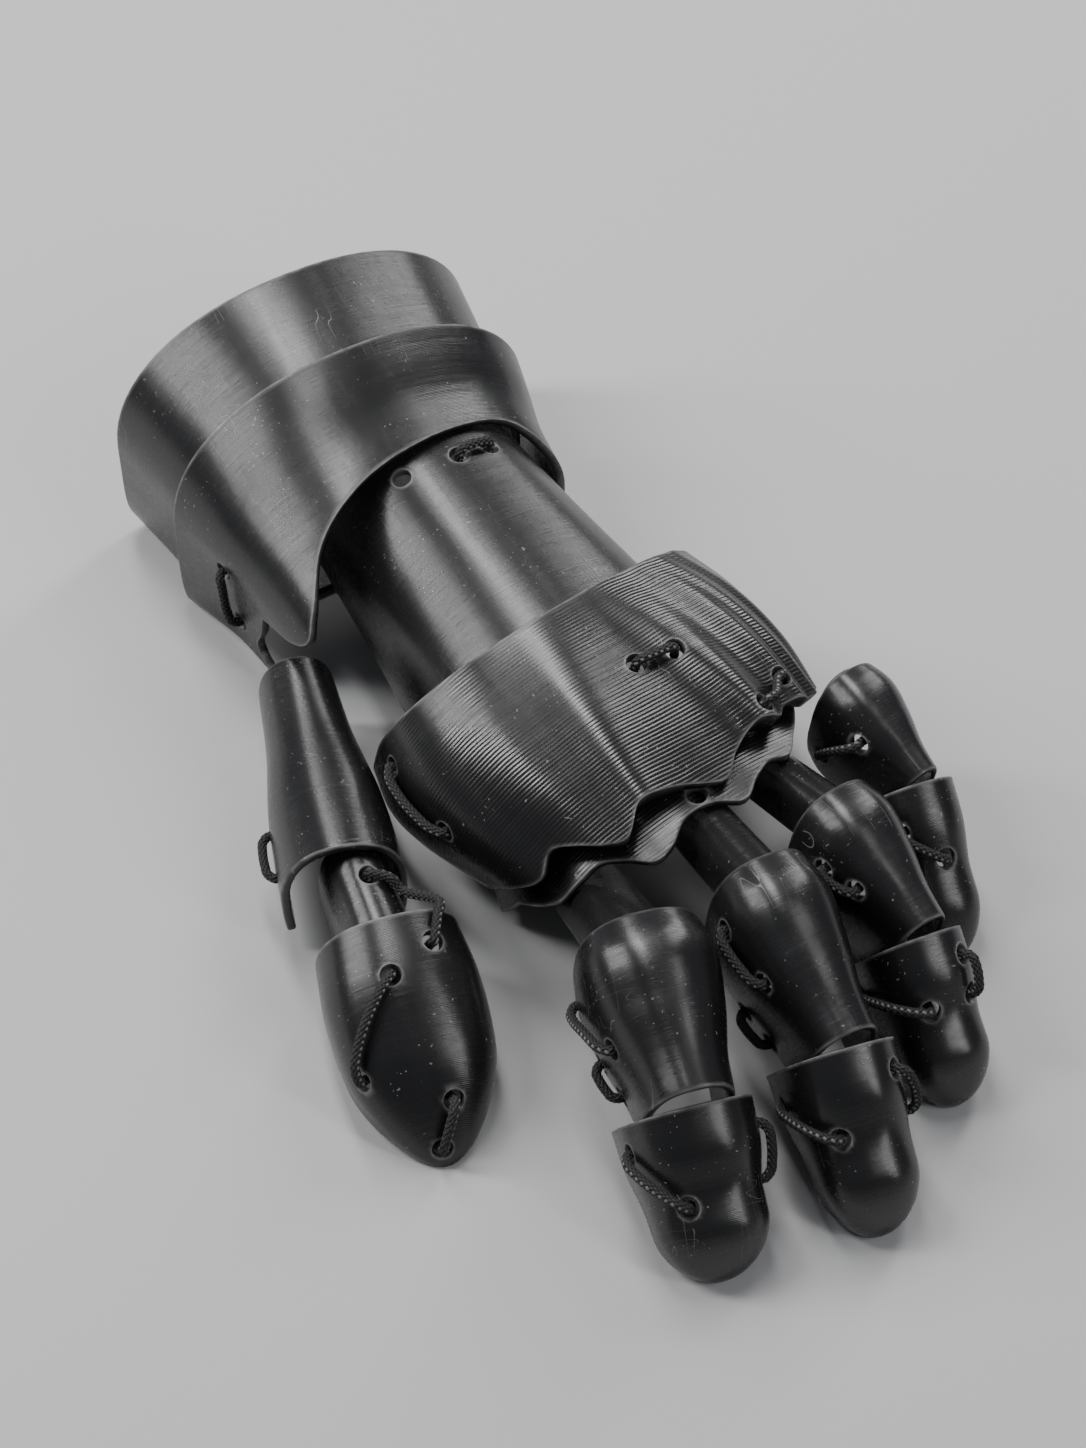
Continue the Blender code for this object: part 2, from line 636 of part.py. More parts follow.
def holes_of(name):
    """Where a plate is drilled: at both ends of each stitch, and where no cord passes."""
    ends = [stop for _, stops in LACES for stop in (stops[0], stops[-1])]
    return [stop[1:3] for stop in ends + list(EMPTY_HOLES) if stop[0] == name]


def smooth_path(points, spacing):
    """Points at even steps on a smooth curve through the route's own points."""
    points = np.array(points, float)
    padded = np.vstack([2 * points[0] - points[1], points, 2 * points[-1] - points[-2]])
    fine = []
    for i in range(1, len(padded) - 2):
        a, b, c, d = padded[i - 1:i + 3]
        for f in np.linspace(0, 1, 12, endpoint=False):
            fine.append(0.5 * (2 * b + (c - a) * f + (2 * a - 5 * b + 4 * c - d) * f**2
                               + (3 * b - a - 3 * c + d) * f**3))
    fine.append(points[-1])
    fine = np.array(fine)
    travelled = np.concatenate([[0], np.cumsum(np.linalg.norm(np.diff(fine, axis=0), axis=1))])
    count = max(3, int(round(travelled[-1] / spacing)) + 1)
    even = np.linspace(0, travelled[-1], count)
    return np.stack([np.interp(even, travelled, fine[:, k]) for k in range(3)], axis=1)


def lace_route(plates, stops):
    """The cord's middle line: up out of the first hole, over the plate and down through the last."""
    radius = CORD_DIAMETER / 2
    over = radius + CORD_GAP
    first, last = stops[0], stops[-1]
    depths = (-WALL - CORD_END, -WALL / 2, CORD_AT_MOUTH)
    route = [plates[first[0]].skin(first[1], first[2], depth) for depth in depths]
    if len(stops) == 2 and first[0] == last[0]:
        plate = plates[first[0]]
        for f in (0.14, 0.30, 0.50, 0.70, 0.86):
            at = first[1] + (last[1] - first[1]) * f
            across = first[2] + (last[2] - first[2]) * f
            route.append(plate.skin(at, across, over + CORD_BOW * math.sin(math.pi * f)))
    else:
        for name, at, across, lift in stops[1:-1]:
            route.append(plates[name].skin(at, across, lift))
    route += [plates[last[0]].skin(last[1], last[2], depth) for depth in depths[::-1]]
    return smooth_path(route, CORD_STEP * CORD_DIAMETER)


def lace(name, route):
    """One stitch of round cord."""
    curve = bpy.data.curves.new(name, "CURVE")
    curve.dimensions = "3D"
    curve.bevel_depth = CORD_DIAMETER / 2
    curve.bevel_resolution = 2
    curve.use_fill_caps = True
    spline = curve.splines.new("POLY")
    spline.points.add(len(route) - 1)
    for point, place in zip(spline.points, route):
        point.co = (*place, 1.0)
    return new_object(name, curve)


def all_plates():
    """Every plate, by its name."""
    hand = hand_plates()
    fingers = [plate for row in FINGERS for plate in finger_plates(row, hand[-1])]
    return {plate.name: plate for plate in hand + thumb_plates() + fingers}


def stand_on_origin(things):
    """Moves everything together until the origin is at the middle of the underside."""
    bpy.context.view_layer.update()
    graph = bpy.context.evaluated_depsgraph_get()
    corners = []
    for thing in things:
        evaluated = thing.evaluated_get(graph)
        mesh = evaluated.to_mesh()
        corners += [evaluated.matrix_world @ vertex.co for vertex in mesh.vertices]
        evaluated.to_mesh_clear()
    low = [min(corner[k] for corner in corners) for k in range(3)]
    high = [max(corner[k] for corner in corners) for k in range(3)]
    glove = new_object("glove", None)
    glove.location = (-0.5 * (low[0] + high[0]), -0.5 * (low[1] + high[1]), -low[2])
    for thing in list(bpy.data.objects):
        if thing is not glove:
            thing.parent = glove


def main():
    for thing in list(bpy.data.objects):
        bpy.data.objects.remove(thing)
    plastic = black_material("black_printed_plastic", BLACK_PLASTIC, 0.32)
    cord = black_material("black_braided_cord", BLACK_CORD, 0.7)
    plates = all_plates()
    made = []
    for plate in plates.values():
        thing = new_object(plate.name, plate_mesh(plate))
        thing.data.materials.append(plastic)
        drill(thing, plate, holes_of(plate.name))
        made.append(thing)
    for name, stops in LACES:
        thing = lace("lacing_" + name, lace_route(plates, stops))
        thing.data.materials.append(cord)
        made.append(thing)
    stand_on_origin(made)


main()
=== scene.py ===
import math

import bmesh
import bpy
import numpy as np
from mathutils import Matrix, Vector
from mathutils.kdtree import KDTree


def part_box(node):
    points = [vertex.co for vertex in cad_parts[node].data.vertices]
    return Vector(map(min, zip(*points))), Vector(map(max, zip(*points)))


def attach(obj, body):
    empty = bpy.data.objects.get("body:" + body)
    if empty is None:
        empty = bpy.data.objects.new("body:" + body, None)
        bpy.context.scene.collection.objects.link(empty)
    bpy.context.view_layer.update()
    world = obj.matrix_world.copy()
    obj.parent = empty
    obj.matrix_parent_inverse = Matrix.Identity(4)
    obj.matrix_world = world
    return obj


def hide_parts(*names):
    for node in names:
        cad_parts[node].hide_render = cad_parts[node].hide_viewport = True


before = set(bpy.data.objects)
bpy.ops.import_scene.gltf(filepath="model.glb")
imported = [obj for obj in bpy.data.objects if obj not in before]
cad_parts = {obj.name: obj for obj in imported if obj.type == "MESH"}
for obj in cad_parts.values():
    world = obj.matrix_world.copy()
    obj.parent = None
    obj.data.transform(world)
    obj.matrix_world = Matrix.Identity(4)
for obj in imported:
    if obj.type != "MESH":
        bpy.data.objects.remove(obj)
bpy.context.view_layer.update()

# The cuff: two flared plates of black plastic, printed in thin layers. The rear one is a tube with a
# flat underside; the front one is an arch with a long tongue, laid over it.

WALL = 0.0026
PLAY = 0.0009
SHARP_ANGLE = 40
RIM_ROUNDING = 0.0007
RIM_SEGMENTS = 3
RIM_ANGLE = 50
HOLE_RADIUS = 0.0028
HOLE_FLARE = 0.5
FLARE_DEPTH = 0.0008
DRILL_BELOW = 0.0090
DRILL_ABOVE = 0.0040
DRILL_SIDES = 40
RIM_POINTS = 500
SIDE_POINTS = 300
RIM_WEAR_WIDTH = 0.0012
HOLE_WEAR_WIDTH = 0.0009
HOLE_WEAR_OUT = 0.0003
HOLE_WEAR_REACH = 0.004
LAYER_PITCH = 0.00045
LAYER_DEPTH = 0.000012
PLASTIC_BLACK = (0.0075, 0.0075, 0.0080, 1.0)
SCUFF_GREY = (0.26, 0.255, 0.25, 1.0)
MESH_STEP = 0.0012
NOSE_ROWS = 20

STATION_COLUMNS = ("at", "width", "crest", "base")
EDGE_COLUMNS = ("across", "reach")
RIDGE_COLUMNS = ("rear", "front", "rise", "spread")


def column(table, columns, name):
    """One named column of a table, as an array."""
    place = columns.index(name)
    return np.array([row[place] for row in table], float)


def smooth(table, columns, name, at):
    """A column's value on a smooth curve through the rows."""
    places = column(table, columns, columns[0])
    values = column(table, columns, name)
    slopes = np.gradient(values, places)
    at = np.clip(at, places[0], places[-1])
    low = np.clip(np.searchsorted(places, at, side="right") - 1, 0, len(places) - 2)
    step = places[low + 1] - places[low]
    f = (at - places[low]) / step
    return (
        (2 * f**3 - 3 * f**2 + 1) * values[low]
        + (f**3 - 2 * f**2 + f) * step * slopes[low]
        + (3 * f**2 - 2 * f**3) * values[low + 1]
        + (f**3 - f**2) * step * slopes[low + 1]
    )


class Plate:
    """An arched plate: a row of sections along a straight line that points from the cuff to the tips."""

    def __init__(self, name, seat, heading, droop, length, width, height, form, **options):
        self.name = name
        self.seat = np.array(seat, float)
        self.length = length
        self.width = width
        self.height = height
        self.form = form
        self.front_width = options.get("front_width", 0.0)
        self.front_height = options.get("front_height", 0.0)
        self.wrap = math.radians(options.get("wrap", 118))
        self.square = options.get("square", 2.5)
        self.low_square = options.get("low_square", self.square)
        self.widest = options.get("widest", 0.40)
        self.flat = options.get("flat", 1.0)
        self.closes_at = options.get("closes_at")
        self.edge = options.get("edge")
        self.rear_dip = options.get("rear_dip", 0.0)
        self.ridges = options.get("ridges", ())
        self.rows = options.get("rows", 6)
        self.columns = options.get("columns", 10)
        self.turn(heading, droop)

    def turn(self, heading, droop):
        """Sets the plate's own side, forward and up directions."""
        self.heading = heading
        self.droop = droop
        h = math.radians(heading)
        d = math.radians(droop)
        self.side = np.array([math.cos(h), math.sin(h), 0.0])
        self.forward = np.array([math.sin(h) * math.cos(d), -math.cos(h) * math.cos(d), -math.sin(d)])
        self.up = np.array([math.sin(h) * math.sin(d), -math.cos(h) * math.sin(d), math.cos(d)])

    def reach(self, at, across):
        """How far forward of the rear rim a point lies."""
        front = self.length * np.ones_like(across)
        if self.edge:
            front = self.length * smooth(self.edge, EDGE_COLUMNS, "reach", across)
        rear = self.rear_dip * (1 - across**2)
        return rear * (1 - at) + front * at

    def section(self, at):
        """Half the width, and the heights of the crest and of the base."""
        swell = smooth(self.form, STATION_COLUMNS, "width", at)
        half = 0.5 * (self.front_width + (self.width - self.front_width) * swell)
        swell = smooth(self.form, STATION_COLUMNS, "crest", at)
        crest = self.front_height + (self.height - self.front_height) * swell
        return half, crest, self.height * smooth(self.form, STATION_COLUMNS, "base", at)

    def surface(self, at, across):
        """Points of the outer face before its ridges, where across runs from -1 to 1 over the arch."""
        half, crest, base = self.section(at)
        if self.closes_at is not None:
            part = np.clip((at - self.closes_at) / (1 - self.closes_at), 0, 1)
            nose = np.sqrt(np.maximum(0.0, 1 - part**2))
            toe = self.height * self.form[-1][STATION_COLUMNS.index("base")]
            half = half * nose
            crest = toe + (crest - toe) * nose
            base = toe + (base - toe) * nose
        widest = base + self.widest * (crest - base)
        angle = across * self.wrap
        power = 2 / np.where(np.cos(angle) > 0, self.square, self.low_square)
        x = half * np.sign(np.sin(angle)) * np.abs(np.sin(angle)) ** power
        rise = (crest - widest) * np.abs(np.cos(angle)) ** power
        lowered = (np.abs(np.cos(angle)) / abs(math.cos(self.wrap))) ** power / self.flat
        fall = (widest - base) * np.minimum(1.0, lowered)
        z = widest + np.where(np.cos(angle) > 0, rise, -fall)
        y = self.reach(at, across)
        return self.seat + x[..., None] * self.side + y[..., None] * self.forward + z[..., None] * self.up

    def facing(self, points_of, at, across):
        """Unit normals of a surface, pointing out of the arch."""
        step = 0.002
        last = 1.0 if self.closes_at is None else 0.999
        low = np.clip(at - step, 0, last - 2 * step)
        along = points_of(low + 2 * step, across) - points_of(low, across)
        left = np.clip(across - step, -1, 1 - 2 * step)
        level = np.minimum(at, last)
        over = points_of(level, left + 2 * step) - points_of(level, left)
        normal = np.cross(along, over)
        normal *= np.sign(np.dot(np.cross(self.forward, self.side), self.up))
        return normal / np.maximum(np.linalg.norm(normal, axis=-1, keepdims=True), 1e-12)

    def ridge_rise(self, at, across):
        """How far the ridges stand out."""
        total = np.zeros_like(at)
        for row in self.ridges:
            ridge = dict(zip(RIDGE_COLUMNS, row))
            line = ridge["rear"] + (ridge["front"] - ridge["rear"]) * at
            grown = RIDGE_START + (1 - RIDGE_START) * at
            total = total + ridge["rise"] * grown * np.exp(-(((across - line) / ridge["spread"]) ** 2))
        return total

    def outer(self, at, across):
        """Points of the outer face."""
        at, across = np.broadcast_arrays(np.asarray(at, float), np.asarray(across, float))
        points = self.surface(at, across)
        if len(self.ridges):
            lift = self.ridge_rise(at, across)
            points = points + self.facing(self.surface, at, across) * lift[..., None]
        return points

    def skin(self, at, across, lift):
        """Points at a distance above the outer face, or below it where lift is negative."""
        at, across = np.broadcast_arrays(np.asarray(at, float), np.asarray(across, float))
        normal = self.facing(self.outer, at, across)
        if self.closes_at is not None:
            normal = np.where((at >= 1.0)[..., None], self.forward, normal)
        return self.outer(at, across) + normal * lift

    def lining(self, at, across):
        """Points of the inner face, which has no ridges."""
        normal = self.facing(self.surface, at, across)
        if self.closes_at is not None:
            normal = np.where((at >= 1.0)[..., None], self.forward, normal)
        return self.surface(at, across) - normal * WALL

    def normal_at(self, at, across):
        """The outward direction at one point."""
        return self.skin(at, across, 1.0) - self.skin(at, across, 0.0)

    def places(self):
        """Shares of the length at which the solid model has a row."""
        if self.closes_at is None:
            return np.linspace(0, 1, self.rows + 1)
        body = np.linspace(0, self.closes_at, self.rows - 2)
        turn = np.sin(np.linspace(0, math.pi / 2, 4))[1:]
        return np.concatenate([body, self.closes_at + (1 - self.closes_at) * turn])

    def crossings(self):
        """Shares of the arch at which the solid model has a column."""
        even = np.linspace(-1, 1, self.columns + 1)
        if not self.edge:
            return even
        turns = column(self.edge, EDGE_COLUMNS, "across")
        clear = [place for place in even if np.abs(turns - place).min() > 0.06]
        return np.sort(np.concatenate([turns, clear]))

    def fine_grid(self):
        """Shares of the length and of the arch for the finished mesh, about a step apart."""
        middle = self.outer(np.full(200, 0.4), np.linspace(-1, 1, 200))
        around = np.linalg.norm(np.diff(middle, axis=0), axis=1).sum()
        longest = self.length * (column(self.edge, EDGE_COLUMNS, "reach").max() if self.edge else 1)
        rows = max(12, int(longest / MESH_STEP))
        across = np.linspace(-1, 1, 2 * int(around / MESH_STEP / 2) + 1)
        if self.closes_at is None:
            return np.linspace(0, 1, rows + 1), across
        body = np.linspace(0, self.closes_at, int(rows * self.closes_at) + 1)
        turn = np.sin(np.linspace(0, math.pi / 2, NOSE_ROWS))[1:]
        return np.concatenate([body, self.closes_at + (1 - self.closes_at) * turn]), across

    def clearance_over(self, other):
        """The least height of this plate's inner face over the other's outer face, where they overlap."""
        along, over = np.meshgrid(np.linspace(0, 1, 41), np.linspace(-0.8, 0.8, 41), indexing="ij")
        points = other.skin(along, over, 0.0) - self.seat
        at = points @ self.forward / self.length
        for _ in range(3):
            half, crest, base = self.section(at)
            share = np.clip(points @ self.side / (half - WALL), -1, 1)
            across = np.arcsin(np.sign(share) * np.abs(share) ** (self.square / 2)) / self.wrap
            rear = self.reach(np.zeros_like(across), across)
            front = self.reach(np.ones_like(across), across)
            at = (points @ self.forward - rear) / (front - rear)
        widest = base + self.widest * (crest - base)
        arch = (1 - np.abs(share) ** self.square) ** (1 / self.square)
        inner = widest + (crest - WALL - widest) * arch
        covered = (at >= 0) & (at <= 1) & (np.abs(share) < 0.93)
        return float(np.min((inner - points @ self.up)[covered], initial=self.height))

    def is_tube(self):
        return abs(self.wrap - math.pi) < 1e-6


def grid_faces(rows, columns, offset, flip):
    """Quads of a grid of points, or the same quads turned over."""
    faces = []
    for i in range(rows - 1):
        for j in range(columns - 1):
            corner = offset + i * columns + j
            quad = [corner, corner + 1, corner + columns + 1, corner + columns]
            faces.append(quad[::-1] if flip else quad)
    return faces


def rim_faces(ring, offset):
    """Quads that join the outer face to the inner face along a line of points."""
    return [[a, b, b + offset, a + offset] for a, b in zip(ring, ring[1:])]


def place_object(name, mesh):
    thing = bpy.data.objects.new(name, mesh)
    bpy.context.scene.collection.objects.link(thing)
    return thing


def shell(plate):
    """A closed shell with a fine mesh, before its rims are rounded and its holes are drilled."""
    places, crossings = plate.fine_grid()
    along, over = np.meshgrid(places, crossings, indexing="ij")
    rows, columns = along.shape
    count = rows * columns
    skins = [plate.skin(along, over, 0.0), plate.lining(along, over)]
    if plate.is_tube():
        for skin in skins:
            skin[:, -1] = skin[:, 0]
    points = np.concatenate([skin.reshape(-1, 3) for skin in skins]) + glove_shift
    faces = grid_faces(rows, columns, 0, False) + grid_faces(rows, columns, count, True)
    faces += rim_faces(list(range(columns)), count)
    if plate.closes_at is None:
        faces += rim_faces(list(range(count - columns, count)), count)
    if not plate.is_tube():
        faces += rim_faces(list(range(0, count, columns)), count)
        faces += rim_faces(list(range(columns - 1, count, columns)), count)
    mesh = bpy.data.meshes.new(plate.name)
    mesh.from_pydata(points.tolist(), [], faces)
    work = bmesh.new()
    work.from_mesh(mesh)
    bmesh.ops.remove_doubles(work, verts=work.verts, dist=1e-6)
    bmesh.ops.dissolve_degenerate(work, edges=work.edges, dist=1e-7)
    bmesh.ops.recalc_face_normals(work, faces=work.faces)
    if work.calc_volume(signed=True) < 0:
        bmesh.ops.reverse_faces(work, faces=work.faces)
    work.to_mesh(mesh)
    work.free()
    return mesh


def drill(plate, holes):
    """One cutter for all the plate's holes: round drills that flare towards the outside."""
    flared = HOLE_FLARE * (DRILL_ABOVE + FLARE_DEPTH)
    profile = ((-DRILL_BELOW, 0.0), (-FLARE_DEPTH, 0.0), (DRILL_ABOVE, flared))
    work = bmesh.new()
    for at, across in holes:
        middle = plate.skin(at, across, 0.0) + glove_shift
        turn = Vector(plate.normal_at(at, across)).to_track_quat("Z", "Y").to_matrix()
        rings = []
        for depth, wider in profile:
            radius = HOLE_RADIUS + wider
            ring = []
            for k in range(DRILL_SIDES):
                angle = 2 * math.pi * k / DRILL_SIDES
                spot = Vector((radius * math.cos(angle), radius * math.sin(angle), depth))
                ring.append(work.verts.new(Vector(middle) + turn @ spot))
            rings.append(ring)
        for low, high in zip(rings, rings[1:]):
            for k in range(DRILL_SIDES):
                after = (k + 1) % DRILL_SIDES
                work.faces.new((low[k], low[after], high[after], high[k]))
        work.faces.new(rings[0][::-1])
        work.faces.new(rings[-1])
    bmesh.ops.recalc_face_normals(work, faces=work.faces)
    mesh = bpy.data.meshes.new(plate.name + "_drill")
    work.to_mesh(mesh)
    work.free()
    return place_object(plate.name + "_drill", mesh)


def wear_of(plate, holes, points):
    """How worn each point is, from 0 to 1: the rims and the mouths of the holes are."""
    fine = np.linspace(-1, 1, RIM_POINTS)
    rims = [plate.skin(np.zeros(RIM_POINTS), fine, 0.0)]
    if plate.closes_at is None:
        rims.append(plate.skin(np.ones(RIM_POINTS), fine, 0.0))
    if not plate.is_tube():
        along = np.linspace(0, 1, SIDE_POINTS)
        rims += [plate.skin(along, np.full(SIDE_POINTS, end), 0.0) for end in (-1.0, 1.0)]
    rims = np.concatenate(rims) + glove_shift
    tree = KDTree(len(rims))
    for k, spot in enumerate(rims):
        tree.insert(spot, k)
    tree.balance()
    gap = np.array([tree.find(spot)[2] for spot in points])
    wear = np.clip(1 - gap / RIM_WEAR_WIDTH, 0, 1)
    for at, across in holes:
        from_mouth = points - (plate.skin(at, across, 0.0) + glove_shift)
        axis = plate.normal_at(at, across)
        along = from_mouth @ axis
        out = np.linalg.norm(from_mouth - along[:, None] * axis, axis=1)
        ring = np.clip(1 - np.abs(out - HOLE_RADIUS - HOLE_WEAR_OUT) / HOLE_WEAR_WIDTH, 0, 1)
        wear = np.maximum(wear, ring * (np.abs(along) < HOLE_WEAR_REACH))
    return wear


class Value:
    """The output of a shader or geometry node, for use in sums."""

    def __init__(self, wiring, socket):
        self.wiring = wiring
        self.socket = socket

    def sum_of(self, operation, first, second):
        return self.wiring.node("ShaderNodeMath", {"operation": operation}, {0: first, 1: second})

    def __add__(self, other):
        return self.sum_of("ADD", self, other)

    def __radd__(self, other):
        return self.sum_of("ADD", other, self)

    def __sub__(self, other):
        return self.sum_of("SUBTRACT", self, other)

    def __rsub__(self, other):
        return self.sum_of("SUBTRACT", other, self)

    def __mul__(self, other):
        return self.sum_of("MULTIPLY", self, other)

    def __truediv__(self, other):
        return self.sum_of("DIVIDE", self, other)

    def __gt__(self, other):
        return self.sum_of("GREATER_THAN", self, other)

    def __lt__(self, other):
        return self.sum_of("LESS_THAN", self, other)

    def __mod__(self, other):
        return self.sum_of("MODULO", self, other)

    def __abs__(self):
        return self.sum_of("ABSOLUTE", self, 0.0)

    def sine(self):
        return self.sum_of("SINE", self, 0.0)

    def cosine(self):
        return self.sum_of("COSINE", self, 0.0)

    def held(self, low, high):
        return self.sum_of("MINIMUM", self.sum_of("MAXIMUM", self, low), high)


class Wiring:
    """A node tree, with one way to add a node."""

    def __init__(self, tree):
        self.tree = tree

    def node(self, kind, settings=(), inputs=(), out=0):
        made = self.tree.nodes.new(kind)
        for key, value in dict(settings).items():
            setattr(made, key, value)
        for key, value in dict(inputs).items():
            self.link(made.inputs[key], value)
        return Value(self, made.outputs[out])

    def link(self, socket, value):
        if isinstance(value, Value):
            self.tree.links.new(value.socket, socket)
        else:
            socket.default_value = value


def printed_plastic(plate, pitch, depth):
    """Black plastic printed in flat layers across the plate, scuffed at its rims and holes.

    Layers and bands run round the plate, streaks and waves along it, and dust, specks and scratches anywhere.
    """
    material = bpy.data.materials.new(plate.name + "_plastic")
    material.use_nodes = True
    wiring = Wiring(material.node_tree)
    shader = material.node_tree.nodes["Principled BSDF"]
    spot = wiring.node("ShaderNodeTexCoord", out="Object")

    def part_along(direction):
        dot = {0: spot, 1: tuple(float(v) for v in direction)}
        return wiring.node("ShaderNodeVectorMath", {"operation": "DOT_PRODUCT"}, dot, out="Value")

    along = part_along(plate.forward)
    over = part_along(plate.side)
    rise = part_along(plate.up)

    def grain(scale, stretch=(1.0, 1.0, 1.0), detail=2.0, roughness=0.5):
        """Noise on the plate's own side, forward and up directions, each stretched by itself."""
        own = wiring.node("ShaderNodeCombineXYZ", (), {
            0: over * stretch[0], 1: along * stretch[1], 2: rise * stretch[2],
        })
        sizes = {"Vector": own, "Scale": scale, "Detail": detail, "Roughness": roughness}
        return wiring.node("ShaderNodeTexNoise", (), sizes, out=0)

    wander = grain(60.0)
    layers = (along * (2 * math.pi / pitch) + wander * 5.0).sine()
    bands = grain(1.0, (14.0, 0.7 / pitch, 14.0), detail=3.0, roughness=0.65)
    streaks = grain(1.0, (230.0, 14.0, 230.0), detail=3.0)
    waves = grain(1.0, (70.0, 22.0, 70.0), detail=1.0)
    dust = grain(1500.0, detail=1.0)
    specks = (grain(1150.0, detail=0.0) > 0.80) * (grain(90.0) > 0.52)
    lines = abs(grain(1.0, (260.0, 22.0, 60.0), detail=0.0) - 0.5) < 0.0030
    more_lines = abs(grain(1.0, (34.0, 300.0, 90.0), detail=0.0) - 0.52) < 0.0020
    scratches = (lines + more_lines) * (grain(38.0) > 0.60)
    worn = wiring.node("ShaderNodeAttribute", {"attribute_name": "wear"}, (), out="Fac")
    rubbed = (worn * (0.35 + grain(260.0) * 1.1)).held(0.0, 1.0)
    pale = (rubbed * rubbed * 0.75 + specks * 0.55 + scratches * 0.35).held(0.0, 1.0)
    color = wiring.node("ShaderNodeMix", {"data_type": "RGBA"}, {
        0: pale, 6: PLASTIC_BLACK, 7: SCUFF_GREY,
    }, out=2)
    roughness = 0.15 + streaks * 0.13 + bands * 0.10 + rubbed * 0.25 + scratches * 0.2
    height = layers * (depth * 0.9) + bands * (depth * 2.8) + waves * 0.00030 + dust * 0.000005
    bump = wiring.node("ShaderNodeBump", (), {
        "Height": height, "Distance": 1.0, "Strength": 1.0,
    }, out="Normal")
    wiring.link(shader.inputs["Base Color"], color)
    wiring.link(shader.inputs["Roughness"], roughness)
    wiring.link(shader.inputs["Normal"], bump)
    shader.inputs["Specular IOR Level"].default_value = 0.55
    return material


def finish_plate(plate, holes, pitch=LAYER_PITCH, depth=LAYER_DEPTH):
    """The finished plate: rounded rims, drilled holes and its plastic."""
    thing = place_object(plate.name + "_printed", shell(plate))
    rounding = thing.modifiers.new("rims", "BEVEL")
    rounding.limit_method = "ANGLE"
    rounding.angle_limit = math.radians(RIM_ANGLE)
    rounding.width = RIM_ROUNDING
    rounding.segments = RIM_SEGMENTS
    cutter = None
    if holes:
        cutter = drill(plate, holes)
        cut = thing.modifiers.new("holes", "BOOLEAN")
        cut.operation = "DIFFERENCE"
        cut.solver = "EXACT"
        cut.object = cutter
    graph = bpy.context.evaluated_depsgraph_get()
    mesh = bpy.data.meshes.new_from_object(thing.evaluated_get(graph), depsgraph=graph)
    thing.modifiers.clear()
    thing.data = mesh
    if cutter:
        bpy.data.objects.remove(cutter)
    points = np.empty(len(mesh.vertices) * 3, np.float32)
    mesh.vertices.foreach_get("co", points)
    wear = mesh.attributes.new("wear", "FLOAT", "POINT")
    wear.data.foreach_set("value", wear_of(plate, holes, points.reshape(-1, 3)).astype(np.float32))
    mesh.materials.clear()
    mesh.materials.append(printed_plastic(plate, pitch, depth))
    mesh.polygons.foreach_set("material_index", np.zeros(len(mesh.polygons), np.int32))
    mesh.shade_smooth()
    mesh.set_sharp_from_angle(angle=math.radians(SHARP_ANGLE))
    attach(thing, "root")
    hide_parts(plate.name)
    return thing


CUFF_MIDDLE_X = 0.003
CUFF_MOUTH_Y = 0.157
CUFF_WIDTH = 0.122
CUFF_HEIGHT = 0.083
CUFF_REAR_LENGTH = 0.054
CUFF_FRONT_LENGTH = 0.039
CUFF_LAP = 0.017
CUFF_HEADING = -1.5
CUFF_FRONT_WIDTH = 0.121
CUFF_FRONT_HEIGHT = 0.083
CUFF_FLAT = 0.97

CUFF_REAR_FORM = (
    (0.00, 1.00, 1.00, 0.00),
    (0.35, 0.95, 0.80, 0.00),
    (0.72, 0.90, 0.46, 0.00),
    (1.00, 0.84, 0.00, 0.00),
)
CUFF_FRONT_FORM = (
    (0.00, 1.00, 1.00, 0.03),
    (0.25, 0.96, 0.955, 0.04),
    (0.60, 0.90, 0.89, 0.06),
    (1.00, 0.87, 0.84, 0.08),
)
CUFF_FRONT_EDGE = (
    (-1.00, 0.95), (-0.95, 1.12), (-0.90, 1.00), (-0.84, 0.98), (-0.78, 1.20), (-0.72, 1.52),
    (-0.63, 1.76), (-0.52, 1.66), (-0.34, 1.26), (-0.18, 1.04), (0.00, 0.88), (0.20, 0.80),
    (0.42, 0.79), (0.62, 0.98), (0.80, 1.05), (1.00, 0.95),
)

front_y = CUFF_MOUTH_Y - CUFF_REAR_LENGTH + CUFF_LAP
cuff_front = Plate(
    "cuff_front_plate", (CUFF_MIDDLE_X, front_y, 0), CUFF_HEADING, 0, CUFF_FRONT_LENGTH,
    CUFF_FRONT_WIDTH, CUFF_FRONT_HEIGHT, CUFF_FRONT_FORM, wrap=112, square=2.2, low_square=6,
    widest=0.42, edge=CUFF_FRONT_EDGE, rows=5, columns=18,
)
shortest = CUFF_FRONT_LENGTH * column(CUFF_FRONT_EDGE, EDGE_COLUMNS, "reach").min()
cuff_rear = Plate(
    "cuff_rear_plate", (CUFF_MIDDLE_X, CUFF_MOUTH_Y, 0), CUFF_HEADING, 0, CUFF_REAR_LENGTH,
    CUFF_WIDTH, CUFF_HEIGHT, CUFF_REAR_FORM,
    front_height=cuff_front.section(CUFF_LAP / shortest)[1] - WALL - PLAY, flat=CUFF_FLAT,
    wrap=180, square=2.2, low_square=7, widest=0.45, rows=4, columns=32,
)

# The solid model stands on the middle of its underside, and the plates here are set out from the wrist
along, over = np.meshgrid(cuff_rear.places(), cuff_rear.crossings(), indexing="ij")
set_out = np.concatenate([cuff_rear.skin(along, over, lift).reshape(-1, 3) for lift in (0.0, -WALL)])
glove_shift = np.array(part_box("cuff_rear_plate")[0], float) - set_out.min(axis=0)
glove_shift[2] = 0.0

